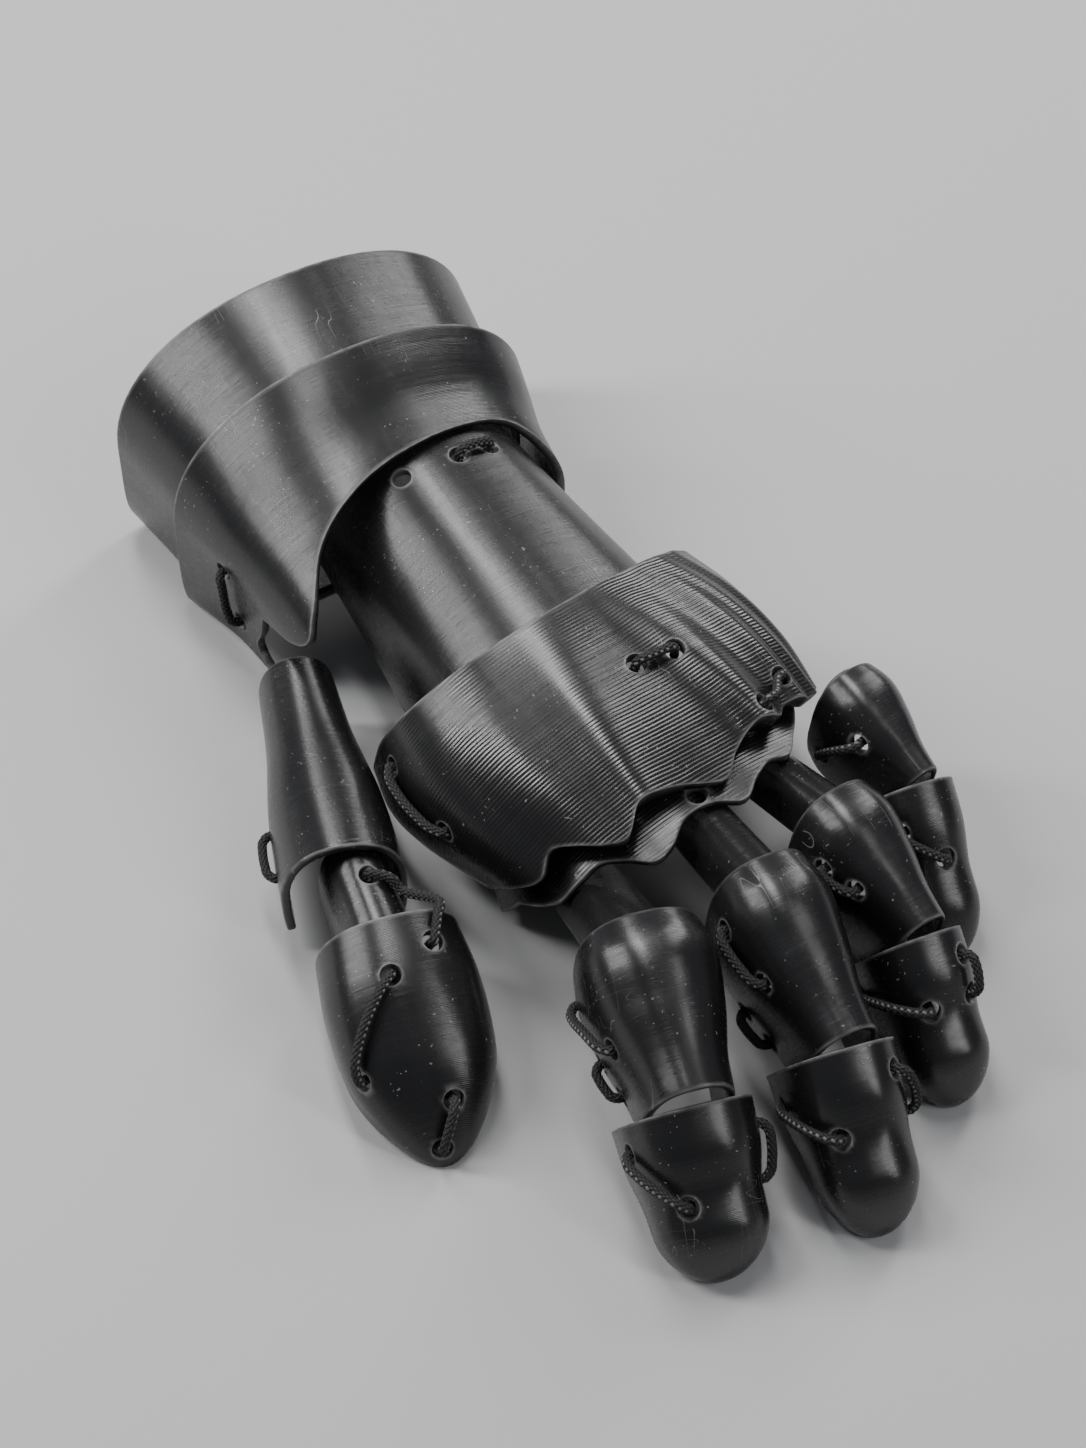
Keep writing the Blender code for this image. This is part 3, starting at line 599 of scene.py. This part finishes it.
# Stitches: a name, then the places that the cord passes. The first and last are holes
LACES = (
    ("cuff_top", (("hand_back_plate", 0.15, 0.08), ("hand_back_plate", 0.15, 0.26))),
    ("cuff_thumb", (("cuff_front_plate", 0.50, -0.78), ("cuff_front_plate", 0.74, -0.84))),
    ("knuckle_top", (("knuckle_plate", 0.40, 0.03), ("knuckle_plate", 0.48, 0.12))),
    ("knuckle_left", (("knuckle_plate", 0.15, -0.81), ("knuckle_plate", 0.58, -0.78))),
    ("knuckle_right", (("knuckle_plate", 0.87, 0.40), ("knuckle_plate", 0.92, 0.25))),
    ("thumb_base", (("thumb_base_plate", 0.68, -0.82), ("thumb_base_plate", 0.86, -0.84))),
    (
        "thumb_slot",
        (
            ("thumb_joint_plate", 0.38, 0.08), ("thumb_joint_plate", 0.48, 0.30, 0.0026),
            ("thumb_joint_plate", 0.60, 0.44, 0.0030), ("thumb_tip_plate", -0.03, 0.32, 0.0018),
            ("thumb_tip_plate", 0.05, 0.26, 0.0022), ("thumb_tip_plate", 0.15, 0.20),
        ),
    ),
    ("thumb_tip", (("thumb_tip_plate", 0.26, -0.06), ("thumb_tip_plate", 0.62, -0.51))),
    ("thumb_toe", (("thumb_tip_plate", 0.80, 0.12), ("thumb_tip_plate", 0.95, -0.04))),
    ("index_mid", (("index_mid_plate", 0.17, -0.86), ("index_mid_plate", 0.59, -0.65))),
    ("index_loop", (("index_mid_plate", 0.52, -0.90), ("index_mid_plate", 0.74, -0.90))),
    ("index_tip", (("index_tip_plate", 0.17, -0.64), ("index_tip_plate", 0.55, -0.19))),
    ("index_side", (("index_tip_plate", 0.17, 0.58), ("index_tip_plate", 0.48, 0.64))),
    ("middle_mid", (("middle_mid_plate", 0.20, -0.62), ("middle_mid_plate", 0.55, -0.56))),
    ("middle_loop", (("middle_mid_plate", 0.50, -0.92), ("middle_mid_plate", 0.72, -0.92))),
    ("middle_tip", (("middle_tip_plate", 0.19, -0.78), ("middle_tip_plate", 0.45, -0.24))),
    ("middle_side", (("middle_tip_plate", 0.17, 0.34), ("middle_tip_plate", 0.39, 0.62))),
    ("ring_mid", (("ring_mid_plate", 0.34, -0.56), ("ring_mid_plate", 0.58, -0.46))),
    ("ring_tip", (("ring_tip_plate", 0.18, -0.80), ("ring_tip_plate", 0.43, -0.12))),
    ("ring_side", (("ring_tip_plate", 0.17, 0.29), ("ring_tip_plate", 0.40, 0.32))),
    ("little_mid", (("little_mid_plate", 0.24, -0.80), ("little_mid_plate", 0.50, -0.46))),
    ("little_tip", (("little_tip_plate", 0.24, -0.36), ("little_tip_plate", 0.45, 0.04))),
)

# Holes that no cord passes
EMPTY_HOLES = (
    ("hand_back_plate", 0.13, -0.19),
    ("knuckle_under_plate", 0.90, -0.02),
)


def holes_of(name):
    """Where a plate is drilled: at both ends of each stitch, and where no cord passes."""
    ends = [stop for _, stops in LACES for stop in (stops[0], stops[-1])]
    return [stop[1:3] for stop in ends + list(EMPTY_HOLES) if stop[0] == name]


for plate in (cuff_rear, cuff_front):
    finish_plate(plate, holes_of(plate.name))

# The knuckle plates: a wide plate with a scalloped front and sharp ridges that fan out over the
# knuckles, printed in coarse layers, and a second scalloped plate that shows under its front edge.

KNUCKLE_X = 0.011
KNUCKLE_Y = 0.030
KNUCKLE_Z = 0.016
KNUCKLE_HEADING = 6
KNUCKLE_DROOP = 9
KNUCKLE_WIDTH = 0.120
KNUCKLE_HEIGHT = 0.056
KNUCKLE_LENGTH = 0.070
KNUCKLE_REAR_DIP = 0.010
RIDGE_START = 0.25
UNDER_SHOWN = 0.028
UNDER_PLAY = 0.0014
UNDER_LENGTH = 0.034
COARSE_PITCH = 0.00115
COARSE_DEPTH = 0.000028

KNUCKLE_FORM = (
    (0.00, 0.94, 0.98, 0.00),
    (0.30, 1.01, 1.00, 0.00),
    (0.65, 1.00, 0.99, 0.05),
    (1.00, 0.93, 0.94, 0.12),
)
ROOT_FORM = (
    (0.00, 0.90, 0.92, 0.00),
    (0.50, 0.94, 0.96, 0.00),
    (1.00, 1.00, 1.00, 0.00),
)
KNUCKLE_EDGE = (
    (-1.00, 0.68), (-0.93, 0.79), (-0.74, 0.96), (-0.60, 1.02), (-0.47, 0.97), (-0.39, 1.03),
    (-0.31, 1.11), (-0.26, 1.14), (-0.17, 1.05), (-0.09, 1.06), (-0.03, 1.09), (0.03, 1.15),
    (0.10, 1.07), (0.19, 1.01), (0.28, 1.03), (0.36, 0.98), (0.50, 0.99), (0.66, 0.92), (0.84, 0.86),
    (1.00, 0.70),
)
UNDER_EDGE = (
    (-1.00, 0.50), (-0.86, 0.80), (-0.68, 1.04), (-0.52, 1.06), (-0.40, 1.08), (-0.31, 1.22),
    (-0.25, 1.35), (-0.17, 1.33), (-0.08, 1.19), (-0.01, 1.20), (0.05, 1.33), (0.14, 1.20),
    (0.22, 1.13), (0.30, 1.16), (0.40, 1.00), (0.56, 0.76), (0.76, 0.50), (1.00, 0.40),
)
KNUCKLE_RIDGES = (
    (-0.28, -0.34, 0.0030, 0.16),
    (-0.05, -0.14, 0.0050, 0.10),
    (0.10, 0.23, 0.0050, 0.07),
    (0.26, 0.44, 0.0030, 0.05),
    (0.34, 0.57, 0.0026, 0.045),
    (0.44, 0.70, 0.0024, 0.045),
)


def seat_under(inner, outer, play=PLAY):
    """Lifts or lowers the inner plate until its crest nearly meets the outer plate's inner face."""
    inner.seat = inner.seat + outer.up * (outer.clearance_over(inner) - play)


knuckle = Plate(
    "knuckle_plate", (KNUCKLE_X, KNUCKLE_Y, KNUCKLE_Z), KNUCKLE_HEADING, KNUCKLE_DROOP, KNUCKLE_LENGTH,
    KNUCKLE_WIDTH, KNUCKLE_HEIGHT, KNUCKLE_FORM, wrap=104, square=2.4, widest=0.30,
    edge=KNUCKLE_EDGE, ridges=KNUCKLE_RIDGES, rear_dip=KNUCKLE_REAR_DIP, rows=6, columns=12,
)
under = Plate(
    "knuckle_under_plate", knuckle.seat + knuckle.forward * (KNUCKLE_LENGTH - UNDER_SHOWN),
    KNUCKLE_HEADING, KNUCKLE_DROOP, UNDER_LENGTH, 2 * (knuckle.section(1.0)[0] - WALL - UNDER_PLAY),
    KNUCKLE_HEIGHT - 2 * WALL, ROOT_FORM, wrap=98, square=2.4, widest=0.30, edge=UNDER_EDGE,
    rows=3, columns=10,
)
seat_under(under, knuckle)
finish_plate(knuckle, holes_of(knuckle.name), COARSE_PITCH, COARSE_DEPTH)
finish_plate(under, holes_of(under.name), COARSE_PITCH, COARSE_DEPTH)

# The hand back: one smooth barrel of the same plastic that hangs between the cuff and the knuckles.
# It is laced at its rear, where one more hole is left empty.

BACK_X = 0.010
BACK_HEADING = 1
BACK_WIDTH = 0.090
BACK_HEIGHT = 0.044
BACK_LENGTH = 0.098
BACK_LAP = 0.016
TILT_STEPS = 6

BACK_FORM = (
    (0.00, 0.78, 0.92, 0.00),
    (0.40, 0.86, 0.96, 0.00),
    (0.75, 0.95, 0.99, 0.00),
    (1.00, 1.00, 1.00, 0.00),
)


def seat_between(inner, front, lap, rear):
    """Hangs the inner plate's front crest a lap inside one plate and tilts its rear up to another."""
    for _ in range(TILT_STEPS):
        hung = front.skin(lap / front.length, 0.0, -WALL - PLAY)
        inner.seat = inner.seat + hung - inner.skin(1.0, 0.0, 0.0)
        seat_under(inner, front)
        lack = rear.clearance_over(inner) - PLAY
        inner.turn(inner.heading, inner.droop + math.degrees(lack / inner.length))
    inner.seat = inner.seat + hung - inner.skin(1.0, 0.0, 0.0)
    seat_under(inner, front)


back = Plate(
    "hand_back_plate", (BACK_X, KNUCKLE_Y - BACK_LAP + BACK_LENGTH, KNUCKLE_Z), BACK_HEADING, 0,
    BACK_LENGTH, BACK_WIDTH, BACK_HEIGHT, BACK_FORM, wrap=92, square=2.3, widest=0.05,
    rows=4, columns=16,
)
seat_between(back, knuckle, BACK_LAP, cuff_front)
finish_plate(back, holes_of(back.name))

# The thumb: a closed cap on the floor, a short plate in its mouth and a long base plate over that
# one, all printed in the same black plastic and laced to each other.

THUMB_X = -0.0720
THUMB_Y = -0.0330
THUMB_WIDTH = 0.043
THUMB_HEIGHT = 0.038
THUMB_BASE_WIDTH = 0.0365
THUMB_BASE_SHIFT = 0.0036
THUMB_JOINT_WIDTH = 0.0215
THUMB_JOINT_SHIFT = 0.0020
THUMB_BASE_HEIGHT = 0.036
THUMB_TIP_LENGTH = 0.064
THUMB_JOINT_LENGTH = 0.034
THUMB_BASE_LENGTH = 0.078
THUMB_TIP_HEADING = -14
THUMB_TIP_DROOP = 12
THUMB_JOINT_HEADING = -12
THUMB_JOINT_DROOP = 5
THUMB_BASE_HEADING = -18
THUMB_BASE_DROOP = 0
THUMB_LAP = 0.008

THUMB_BASE_FORM = (
    (0.00, 0.62, 0.74, 0.00),
    (0.30, 0.72, 0.78, 0.00),
    (0.62, 0.92, 0.88, 0.00),
    (1.00, 1.00, 1.00, 0.00),
)
THUMB_TIP_FORM = (
    (0.00, 0.96, 1.00, 0.00),
    (0.25, 1.04, 0.98, 0.03),
    (0.55, 1.00, 0.86, 0.08),
    (0.80, 0.86, 0.70, 0.14),
    (1.00, 0.70, 0.50, 0.20),
)


def laid_on_floor(plate):
    """Lowers or raises a plate until its lowest corner meets the floor."""
    along, over = np.meshgrid(plate.places(), plate.crossings(), indexing="ij")
    lowest = min(plate.skin(along, over, 0.0)[..., 2].min(), plate.skin(along, over, -WALL)[..., 2].min())
    plate.seat[2] -= lowest
    return plate


def seat_over(outer, inner):
    """Lifts or lowers the outer plate until its inner face nearly meets the inner plate."""
    outer.seat = outer.seat - outer.up * (outer.clearance_over(inner) - PLAY)


thumb_tip = laid_on_floor(Plate(
    "thumb_tip_plate", (THUMB_X, THUMB_Y, 0), THUMB_TIP_HEADING, THUMB_TIP_DROOP,
    THUMB_TIP_LENGTH, THUMB_WIDTH, THUMB_HEIGHT, THUMB_TIP_FORM,
    closes_at=0.55, wrap=118, square=2.4, rows=7, columns=12,
))
thumb_joint = Plate(
    "thumb_joint_plate", (0, 0, 0), THUMB_JOINT_HEADING, THUMB_JOINT_DROOP, THUMB_JOINT_LENGTH,
    THUMB_JOINT_WIDTH, THUMB_BASE_HEIGHT - WALL - PLAY, ROOT_FORM,
    wrap=95, square=2.4, rows=3, columns=8,
)
thumb_joint.seat = thumb_tip.seat + thumb_tip.forward * THUMB_LAP - thumb_joint.forward * thumb_joint.length
thumb_joint.seat -= thumb_joint.side * THUMB_JOINT_SHIFT
seat_under(thumb_joint, thumb_tip)
thumb_base = Plate(
    "thumb_base_plate", (0, 0, 0), THUMB_BASE_HEADING, THUMB_BASE_DROOP, THUMB_BASE_LENGTH,
    THUMB_BASE_WIDTH, THUMB_BASE_HEIGHT, THUMB_BASE_FORM, wrap=110, square=2.3, rows=6, columns=10,
)
thumb_base.seat = thumb_joint.seat + thumb_joint.forward * THUMB_LAP - thumb_base.forward * thumb_base.length
thumb_base.seat -= thumb_base.side * THUMB_BASE_SHIFT
seat_over(thumb_base, thumb_joint)
for plate in (thumb_tip, thumb_joint, thumb_base):
    finish_plate(plate, holes_of(plate.name))

# The fingers: each a closed cap over the tip, an arched plate inside its mouth and a short root
# plate inside that one, in the same printed plastic.

FINGER_LAP = 0.005
FINGER_PLAY = 0.0021
SIDE_PLAY = 0.0034
MID_REAR_BULGE = 0.006
ROOT_WIDTH = 0.74
ROOT_HEIGHT = 0.80
ROOTS_BESIDE_THE_HAND = ("little",)

MID_FORM = (
    (0.00, 0.80, -0.10, 0.00),
    (0.18, 1.00, 0.90, 0.00),
    (0.50, 0.72, 0.66, 0.00),
    (0.78, 0.20, 0.18, 0.02),
    (1.00, 0.00, 0.00, 0.04),
)
TIP_FORM = (
    (0.00, 1.00, 1.00, 0.00),
    (0.25, 0.97, 0.95, 0.05),
    (0.50, 0.86, 0.80, 0.13),
    (0.72, 0.83, 0.76, 0.20),
    (1.00, 0.76, 0.66, 0.30),
)
FINGER_COLUMNS = (
    "name", "mouth_x", "mouth_y", "tip_heading", "tip_droop", "tip_length", "tip_width", "tip_height",
    "mid_heading", "mid_droop", "mid_length", "mid_width", "mid_height",
    "root_heading", "root_droop", "root_length",
)
FINGERS = (
    ("index", -0.0303, -0.1190, -15, 27, 0.046, 0.0375, 0.040,
     -15, 13, 0.046, 0.0390, 0.041, -12, -10, 0.058),
    ("middle", 0.0130, -0.1255, -13, 27, 0.050, 0.0330, 0.041,
     -6, 14, 0.049, 0.0330, 0.042, -6, -10, 0.058),
    ("ring", 0.0505, -0.1055, -9, 27, 0.046, 0.0300, 0.040,
     2, 14, 0.040, 0.0300, 0.040, 2, -10, 0.050),
    ("little", 0.0808, -0.0635, -12, 27, 0.049, 0.0260, 0.036,
     4, 14, 0.032, 0.0260, 0.035, 6, 8, 0.010),
)

plates = {plate.name: plate for plate in (
    cuff_rear, cuff_front, back, knuckle, under, thumb_tip, thumb_joint, thumb_base)}
for row in FINGERS:
    size = dict(zip(FINGER_COLUMNS, row))
    name = size["name"]
    tip = laid_on_floor(Plate(
        name + "_tip_plate", (size["mouth_x"], size["mouth_y"], 0.0), size["tip_heading"],
        size["tip_droop"], size["tip_length"], size["tip_width"], size["tip_height"], TIP_FORM,
        closes_at=0.66, wrap=118, square=2.5, rows=7, columns=10,
    ))
    mid = Plate(
        name + "_mid_plate", (0, 0, 0), size["mid_heading"], size["mid_droop"],
        size["mid_length"], size["mid_width"], size["mid_height"], MID_FORM,
        front_width=size["tip_width"] - 2 * (WALL + SIDE_PLAY), front_height=size["tip_height"] - WALL - PLAY,
        wrap=118, square=2.5, rear_dip=-MID_REAR_BULGE, rows=6, columns=10,
    )
    mid.seat = tip.seat + tip.forward * FINGER_LAP - mid.forward * mid.length
    seat_under(mid, tip, FINGER_PLAY)
    root = Plate(
        name + "_root_plate", (0, 0, 0), size["root_heading"], size["root_droop"], size["root_length"],
        (size["mid_width"] - 2 * WALL) * ROOT_WIDTH, size["mid_height"] * ROOT_HEIGHT, ROOT_FORM,
        wrap=80, square=2.4, rows=3, columns=8,
    )
    root.seat = mid.seat + mid.forward * FINGER_LAP - root.forward * root.length
    if name in ROOTS_BESIDE_THE_HAND:
        seat_under(root, mid)
    else:
        seat_between(root, mid, FINGER_LAP, under)
    for plate in (tip, mid, root):
        plates[plate.name] = plate
        finish_plate(plate, holes_of(plate.name))

# The lacing: stitches of black cord, braided from twelve flat strands over a core, with pale flecks
# in rows. Each stitch comes up through one hole and goes down through another.

CORD_DIAMETER = 0.0029
CORD_GAP = 0.0007
CORD_BOW = 0.0007
CORD_AT_MOUTH = 0.0007
CORD_END = 0.0022
ROUTE_STEP = 0.0008
STRANDS_EACH_WAY = 6
STRAND_STEP = 0.00022
STRAND_TURN = 560.0
STRAND_RADIUS = 0.00113
STRAND_RISE = 0.00015
STRAND_HALF_WIDTH = 0.00047
STRAND_HALF_THICKNESS = 0.00017
STRAND_SIDES = 6
CORE_RADIUS = 0.00098
CORE_SIDES = 10
FLECK_ROWS = 4.0
FLECK_COSINE = 0.55
FLECK_LIFT = 0.35
FIBRE_SCALE = 4200.0
FIBRE_DEPTH = 0.00004
CORD_BLACK = (0.009, 0.009, 0.010, 1.0)
FLECK_PALE = (0.15, 0.147, 0.14, 1.0)
CURVE_STEPS = 12
BOW_STATIONS = (0.14, 0.30, 0.50, 0.70, 0.86)


def smooth_path(points, spacing):
    """Points at even steps on a smooth curve through the route's own points."""
    points = np.array(points, float)
    padded = np.vstack([2 * points[0] - points[1], points, 2 * points[-1] - points[-2]])
    fine = []
    for i in range(1, len(padded) - 2):
        a, b, c, d = padded[i - 1:i + 3]
        for f in np.linspace(0, 1, CURVE_STEPS, endpoint=False):
            fine.append(0.5 * (2 * b + (c - a) * f + (2 * a - 5 * b + 4 * c - d) * f**2
                               + (3 * b - a - 3 * c + d) * f**3))
    fine.append(points[-1])
    fine = np.array(fine)
    travelled = np.concatenate([[0], np.cumsum(np.linalg.norm(np.diff(fine, axis=0), axis=1))])
    count = max(3, int(round(travelled[-1] / spacing)) + 1)
    even = np.linspace(0, travelled[-1], count)
    return np.stack([np.interp(even, travelled, fine[:, k]) for k in range(3)], axis=1)


def lace_route(stops):
    """The cord's middle line: up out of the first hole, over the plate and down through the last."""
    lifted = CORD_DIAMETER / 2 + CORD_GAP
    first, last = stops[0], stops[-1]
    depths = (-WALL - CORD_END, -WALL / 2, CORD_AT_MOUTH)
    route = [plates[first[0]].skin(first[1], first[2], depth) for depth in depths]
    if len(stops) == 2 and first[0] == last[0]:
        for f in BOW_STATIONS:
            at = first[1] + (last[1] - first[1]) * f
            across = first[2] + (last[2] - first[2]) * f
            route.append(plates[first[0]].skin(at, across, lifted + CORD_BOW * math.sin(math.pi * f)))
    else:
        route += [plates[name].skin(at, across, lift) for name, at, across, lift in stops[1:-1]]
    route += [plates[last[0]].skin(last[1], last[2], depth) for depth in depths[::-1]]
    return smooth_path(route, ROUTE_STEP)


def braided_cord():
    """Dull black fibres, pale wherever the braid's fleck value is high."""
    material = bpy.data.materials.new("braided_cord")
    material.use_nodes = True
    wiring = Wiring(material.node_tree)
    shader = material.node_tree.nodes["Principled BSDF"]
    spot = wiring.node("ShaderNodeTexCoord", out="Object")
    fleck = wiring.node("ShaderNodeAttribute", {"attribute_name": "fleck"}, (), out="Fac")
    fibres = wiring.node("ShaderNodeTexNoise", (), {
        "Vector": spot, "Scale": FIBRE_SCALE, "Detail": 2.0,
    }, out=0)
    color = wiring.node("ShaderNodeMix", {"data_type": "RGBA"}, {
        0: (fleck * (0.55 + fibres * 0.6)).held(0.0, 1.0),
        6: CORD_BLACK, 7: FLECK_PALE,
    }, out=2)
    bump = wiring.node("ShaderNodeBump", (), {
        "Height": fibres * FIBRE_DEPTH, "Distance": 1.0,
    }, out="Normal")
    wiring.link(shader.inputs["Base Color"], color)
    wiring.link(shader.inputs["Roughness"], 0.62 + fibres * 0.2)
    wiring.link(shader.inputs["Normal"], bump)
    return material


def braid_tree(material):
    """Strands that wind both ways round a line and pass over and under each other, and a core."""
    tree = bpy.data.node_groups.new("braid", "GeometryNodeTree")
    tree.interface.new_socket(name="Line", in_out="INPUT", socket_type="NodeSocketGeometry")
    tree.interface.new_socket(name="Strands each way", in_out="INPUT", socket_type="NodeSocketInt")
    for words in ("Strand radius", "Strand rise", "Turn", "Core radius"):
        tree.interface.new_socket(name=words, in_out="INPUT", socket_type="NodeSocketFloat")
    tree.interface.new_socket(name="Braid", in_out="OUTPUT", socket_type="NodeSocketGeometry")
    wiring = Wiring(tree)
    source = tree.nodes.new("NodeGroupInput")
    given = {socket.name: Value(wiring, socket) for socket in source.outputs if socket.name}
    ways = given["Strands each way"]
    line = wiring.node("GeometryNodeMeshToCurve", (), {"Mesh": given["Line"]})
    line = wiring.node("GeometryNodeResampleCurve", {"mode": "LENGTH"}, {
        "Curve": line, "Length": STRAND_STEP})
    copies = wiring.node("GeometryNodeDuplicateElements", {"domain": "SPLINE"}, {0: line, "Amount": ways * 2})
    index = Value(wiring, copies.socket.node.outputs["Duplicate Index"])
    run = wiring.node("GeometryNodeSplineParameter", out="Length")
    hand = 1.0 - ((index + 0.5) > ways) * 2.0
    wound = run * given["Turn"]
    angle = (index % ways) / ways * (2 * math.pi) + hand * wound
    over = (wound * ways).cosine() * hand
    normal = wiring.node("GeometryNodeInputNormal")
    tangent = wiring.node("GeometryNodeInputTangent")
    beside = wiring.node("ShaderNodeVectorMath", {"operation": "CROSS_PRODUCT"}, {0: tangent, 1: normal})
    first = wiring.node("ShaderNodeVectorMath", {"operation": "SCALE"}, {0: normal, "Scale": angle.cosine()})
    second = wiring.node("ShaderNodeVectorMath", {"operation": "SCALE"}, {0: beside, "Scale": angle.sine()})
    radial = wiring.node("ShaderNodeVectorMath", {"operation": "ADD"}, {0: first, 1: second})
    shown = (over > FLECK_LIFT) * ((angle * FLECK_ROWS).cosine() > FLECK_COSINE) * (hand > 0.0)
    kept = wiring.node("GeometryNodeStoreNamedAttribute", {"data_type": "FLOAT_VECTOR", "domain": "POINT"}, {
        "Geometry": copies, "Name": "radial", "Value": radial})
    kept = wiring.node("GeometryNodeStoreNamedAttribute", {"data_type": "FLOAT", "domain": "POINT"}, {
        "Geometry": kept, "Name": "fleck", "Value": shown})
    reach = given["Strand radius"] + over * given["Strand rise"]
    offset = wiring.node("ShaderNodeVectorMath", {"operation": "SCALE"}, {0: radial, "Scale": reach})
    moved = wiring.node("GeometryNodeSetPosition", (), {"Geometry": kept, "Offset": offset})
    stored = wiring.node("GeometryNodeInputNamedAttribute", {"data_type": "FLOAT_VECTOR"}, {"Name": "radial"})
    moved = wiring.node("GeometryNodeSetCurveNormal", {"mode": "FREE"}, {"Curve": moved, "Normal": stored})
    ring = wiring.node("GeometryNodeCurvePrimitiveCircle", (), {"Resolution": STRAND_SIDES, "Radius": 1.0})
    ring = wiring.node("GeometryNodeTransform", (), {
        "Geometry": ring, "Scale": (STRAND_HALF_THICKNESS, STRAND_HALF_WIDTH, 1.0)})
    strands = wiring.node("GeometryNodeCurveToMesh", (), {
        "Curve": moved, "Profile Curve": ring, "Fill Caps": True})
    round_core = wiring.node("GeometryNodeCurvePrimitiveCircle", (), {
        "Resolution": CORE_SIDES, "Radius": given["Core radius"]})
    core = wiring.node("GeometryNodeCurveToMesh", (), {
        "Curve": line, "Profile Curve": round_core, "Fill Caps": True})
    joined = tree.nodes.new("GeometryNodeJoinGeometry")
    tree.links.new(core.socket, joined.inputs[0])
    tree.links.new(strands.socket, joined.inputs[0])
    real = wiring.node("GeometryNodeRealizeInstances", (), {0: Value(wiring, joined.outputs[0])})
    painted = wiring.node("GeometryNodeSetMaterial", (), {"Geometry": real, "Material": material})
    sink = tree.nodes.new("NodeGroupOutput")
    tree.links.new(painted.socket, sink.inputs[0])
    return tree


cord_material = braided_cord()
tree = braid_tree(cord_material)
sizes = {
    "Strands each way": STRANDS_EACH_WAY, "Strand radius": STRAND_RADIUS, "Strand rise": STRAND_RISE,
    "Turn": STRAND_TURN, "Core radius": CORE_RADIUS,
}
for name, stops in LACES:
    route = lace_route(stops) + glove_shift
    mesh = bpy.data.meshes.new("lacing_" + name)
    mesh.from_pydata(route.tolist(), [(k, k + 1) for k in range(len(route) - 1)], [])
    thing = place_object("lacing_" + name + "_braid", mesh)
    braid = thing.modifiers.new("braid", "NODES")
    braid.node_group = tree
    for item in tree.interface.items_tree:
        if item.in_out == "INPUT" and item.name in sizes:
            braid[item.identifier] = sizes[item.name]
    graph = bpy.context.evaluated_depsgraph_get()
    made = bpy.data.meshes.new_from_object(thing.evaluated_get(graph), depsgraph=graph)
    thing.modifiers.clear()
    thing.data = made
    work = bmesh.new()
    work.from_mesh(made)
    bmesh.ops.recalc_face_normals(work, faces=work.faces)
    work.to_mesh(made)
    work.free()
    made.shade_smooth()
    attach(thing, "root")
    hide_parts("lacing_" + name)

# The floor, the light and the camera: a plain pale grey floor, soft lamps that lie along the hand
# and the photograph's own view from the front left and above.

FLOOR_SIZE = 3.0
FLOOR_GREY = (0.42, 0.42, 0.425, 1.0)
FLOOR_ROUGHNESS = 0.85
ROOM_COLOUR = (0.90, 0.93, 1.0, 1.0)
ROOM_LIGHT = 0.16
CAMERA_AZIMUTH = -31
CAMERA_ELEVATION = 52
CAMERA_DISTANCE = 0.95
CAMERA_LENS = 81.5
CAMERA_FILM_HEIGHT = 36.0
AIM = (0.0, 0.0, 0.035)

floor_mesh = bpy.data.meshes.new("floor")
half = FLOOR_SIZE / 2
corners = [(-half, -half, 0), (half, -half, 0), (half, half, 0), (-half, half, 0)]
floor_mesh.from_pydata(corners, [], [(0, 1, 2, 3)])
floor = place_object("floor", floor_mesh)
paper = bpy.data.materials.new("pale_paper")
paper.use_nodes = True
paper.node_tree.nodes["Principled BSDF"].inputs["Base Color"].default_value = FLOOR_GREY
paper.node_tree.nodes["Principled BSDF"].inputs["Roughness"].default_value = FLOOR_ROUGHNESS
floor_mesh.materials.append(paper)

world = bpy.data.worlds.new("soft_room")
world.use_nodes = True
world.node_tree.nodes["Background"].inputs["Color"].default_value = ROOM_COLOUR
world.node_tree.nodes["Background"].inputs["Strength"].default_value = ROOM_LIGHT
bpy.context.scene.world = world


def lamp(name, place, width, depth, power):
    """A soft lamp that faces the middle of the glove."""
    light = bpy.data.lights.new(name, "AREA")
    light.shape = "RECTANGLE"
    light.size = width
    light.size_y = depth
    light.energy = power
    thing = bpy.data.objects.new(name, light)
    bpy.context.scene.collection.objects.link(thing)
    toward = Vector(AIM) - Vector(place)
    thing.rotation_euler = toward.to_track_quat("-Z", "Y").to_euler()
    thing.location = place


lamp("lamp_left", (-0.70, 0.55, 0.85), 0.22, 0.9, 14.0)
lamp("lamp_above", (0.10, 0.55, 1.15), 0.20, 1.0, 12.0)
lamp("lamp_right", (0.85, 0.45, 0.75), 0.22, 0.9, 8.0)
lamp("lamp_front", (0.38, -0.82, 0.80), 0.16, 0.8, 4.5)

aim = Vector(AIM) + Vector(glove_shift)
a = math.radians(CAMERA_AZIMUTH)
e = math.radians(CAMERA_ELEVATION)
behind = Vector((math.sin(a) * math.cos(e), -math.cos(a) * math.cos(e), math.sin(e)))
right = Vector((math.cos(a), math.sin(a), 0.0))
top = behind.cross(right)
lens = bpy.data.cameras.new("camera")
lens.sensor_fit = "VERTICAL"
lens.sensor_height = CAMERA_FILM_HEIGHT
lens.lens = CAMERA_LENS
camera = bpy.data.objects.new("camera", lens)
bpy.context.scene.collection.objects.link(camera)
camera.matrix_world = Matrix.Translation(aim + behind * CAMERA_DISTANCE) @ Matrix(
    (right, top, behind)).transposed().to_4x4()
bpy.context.scene.camera = camera
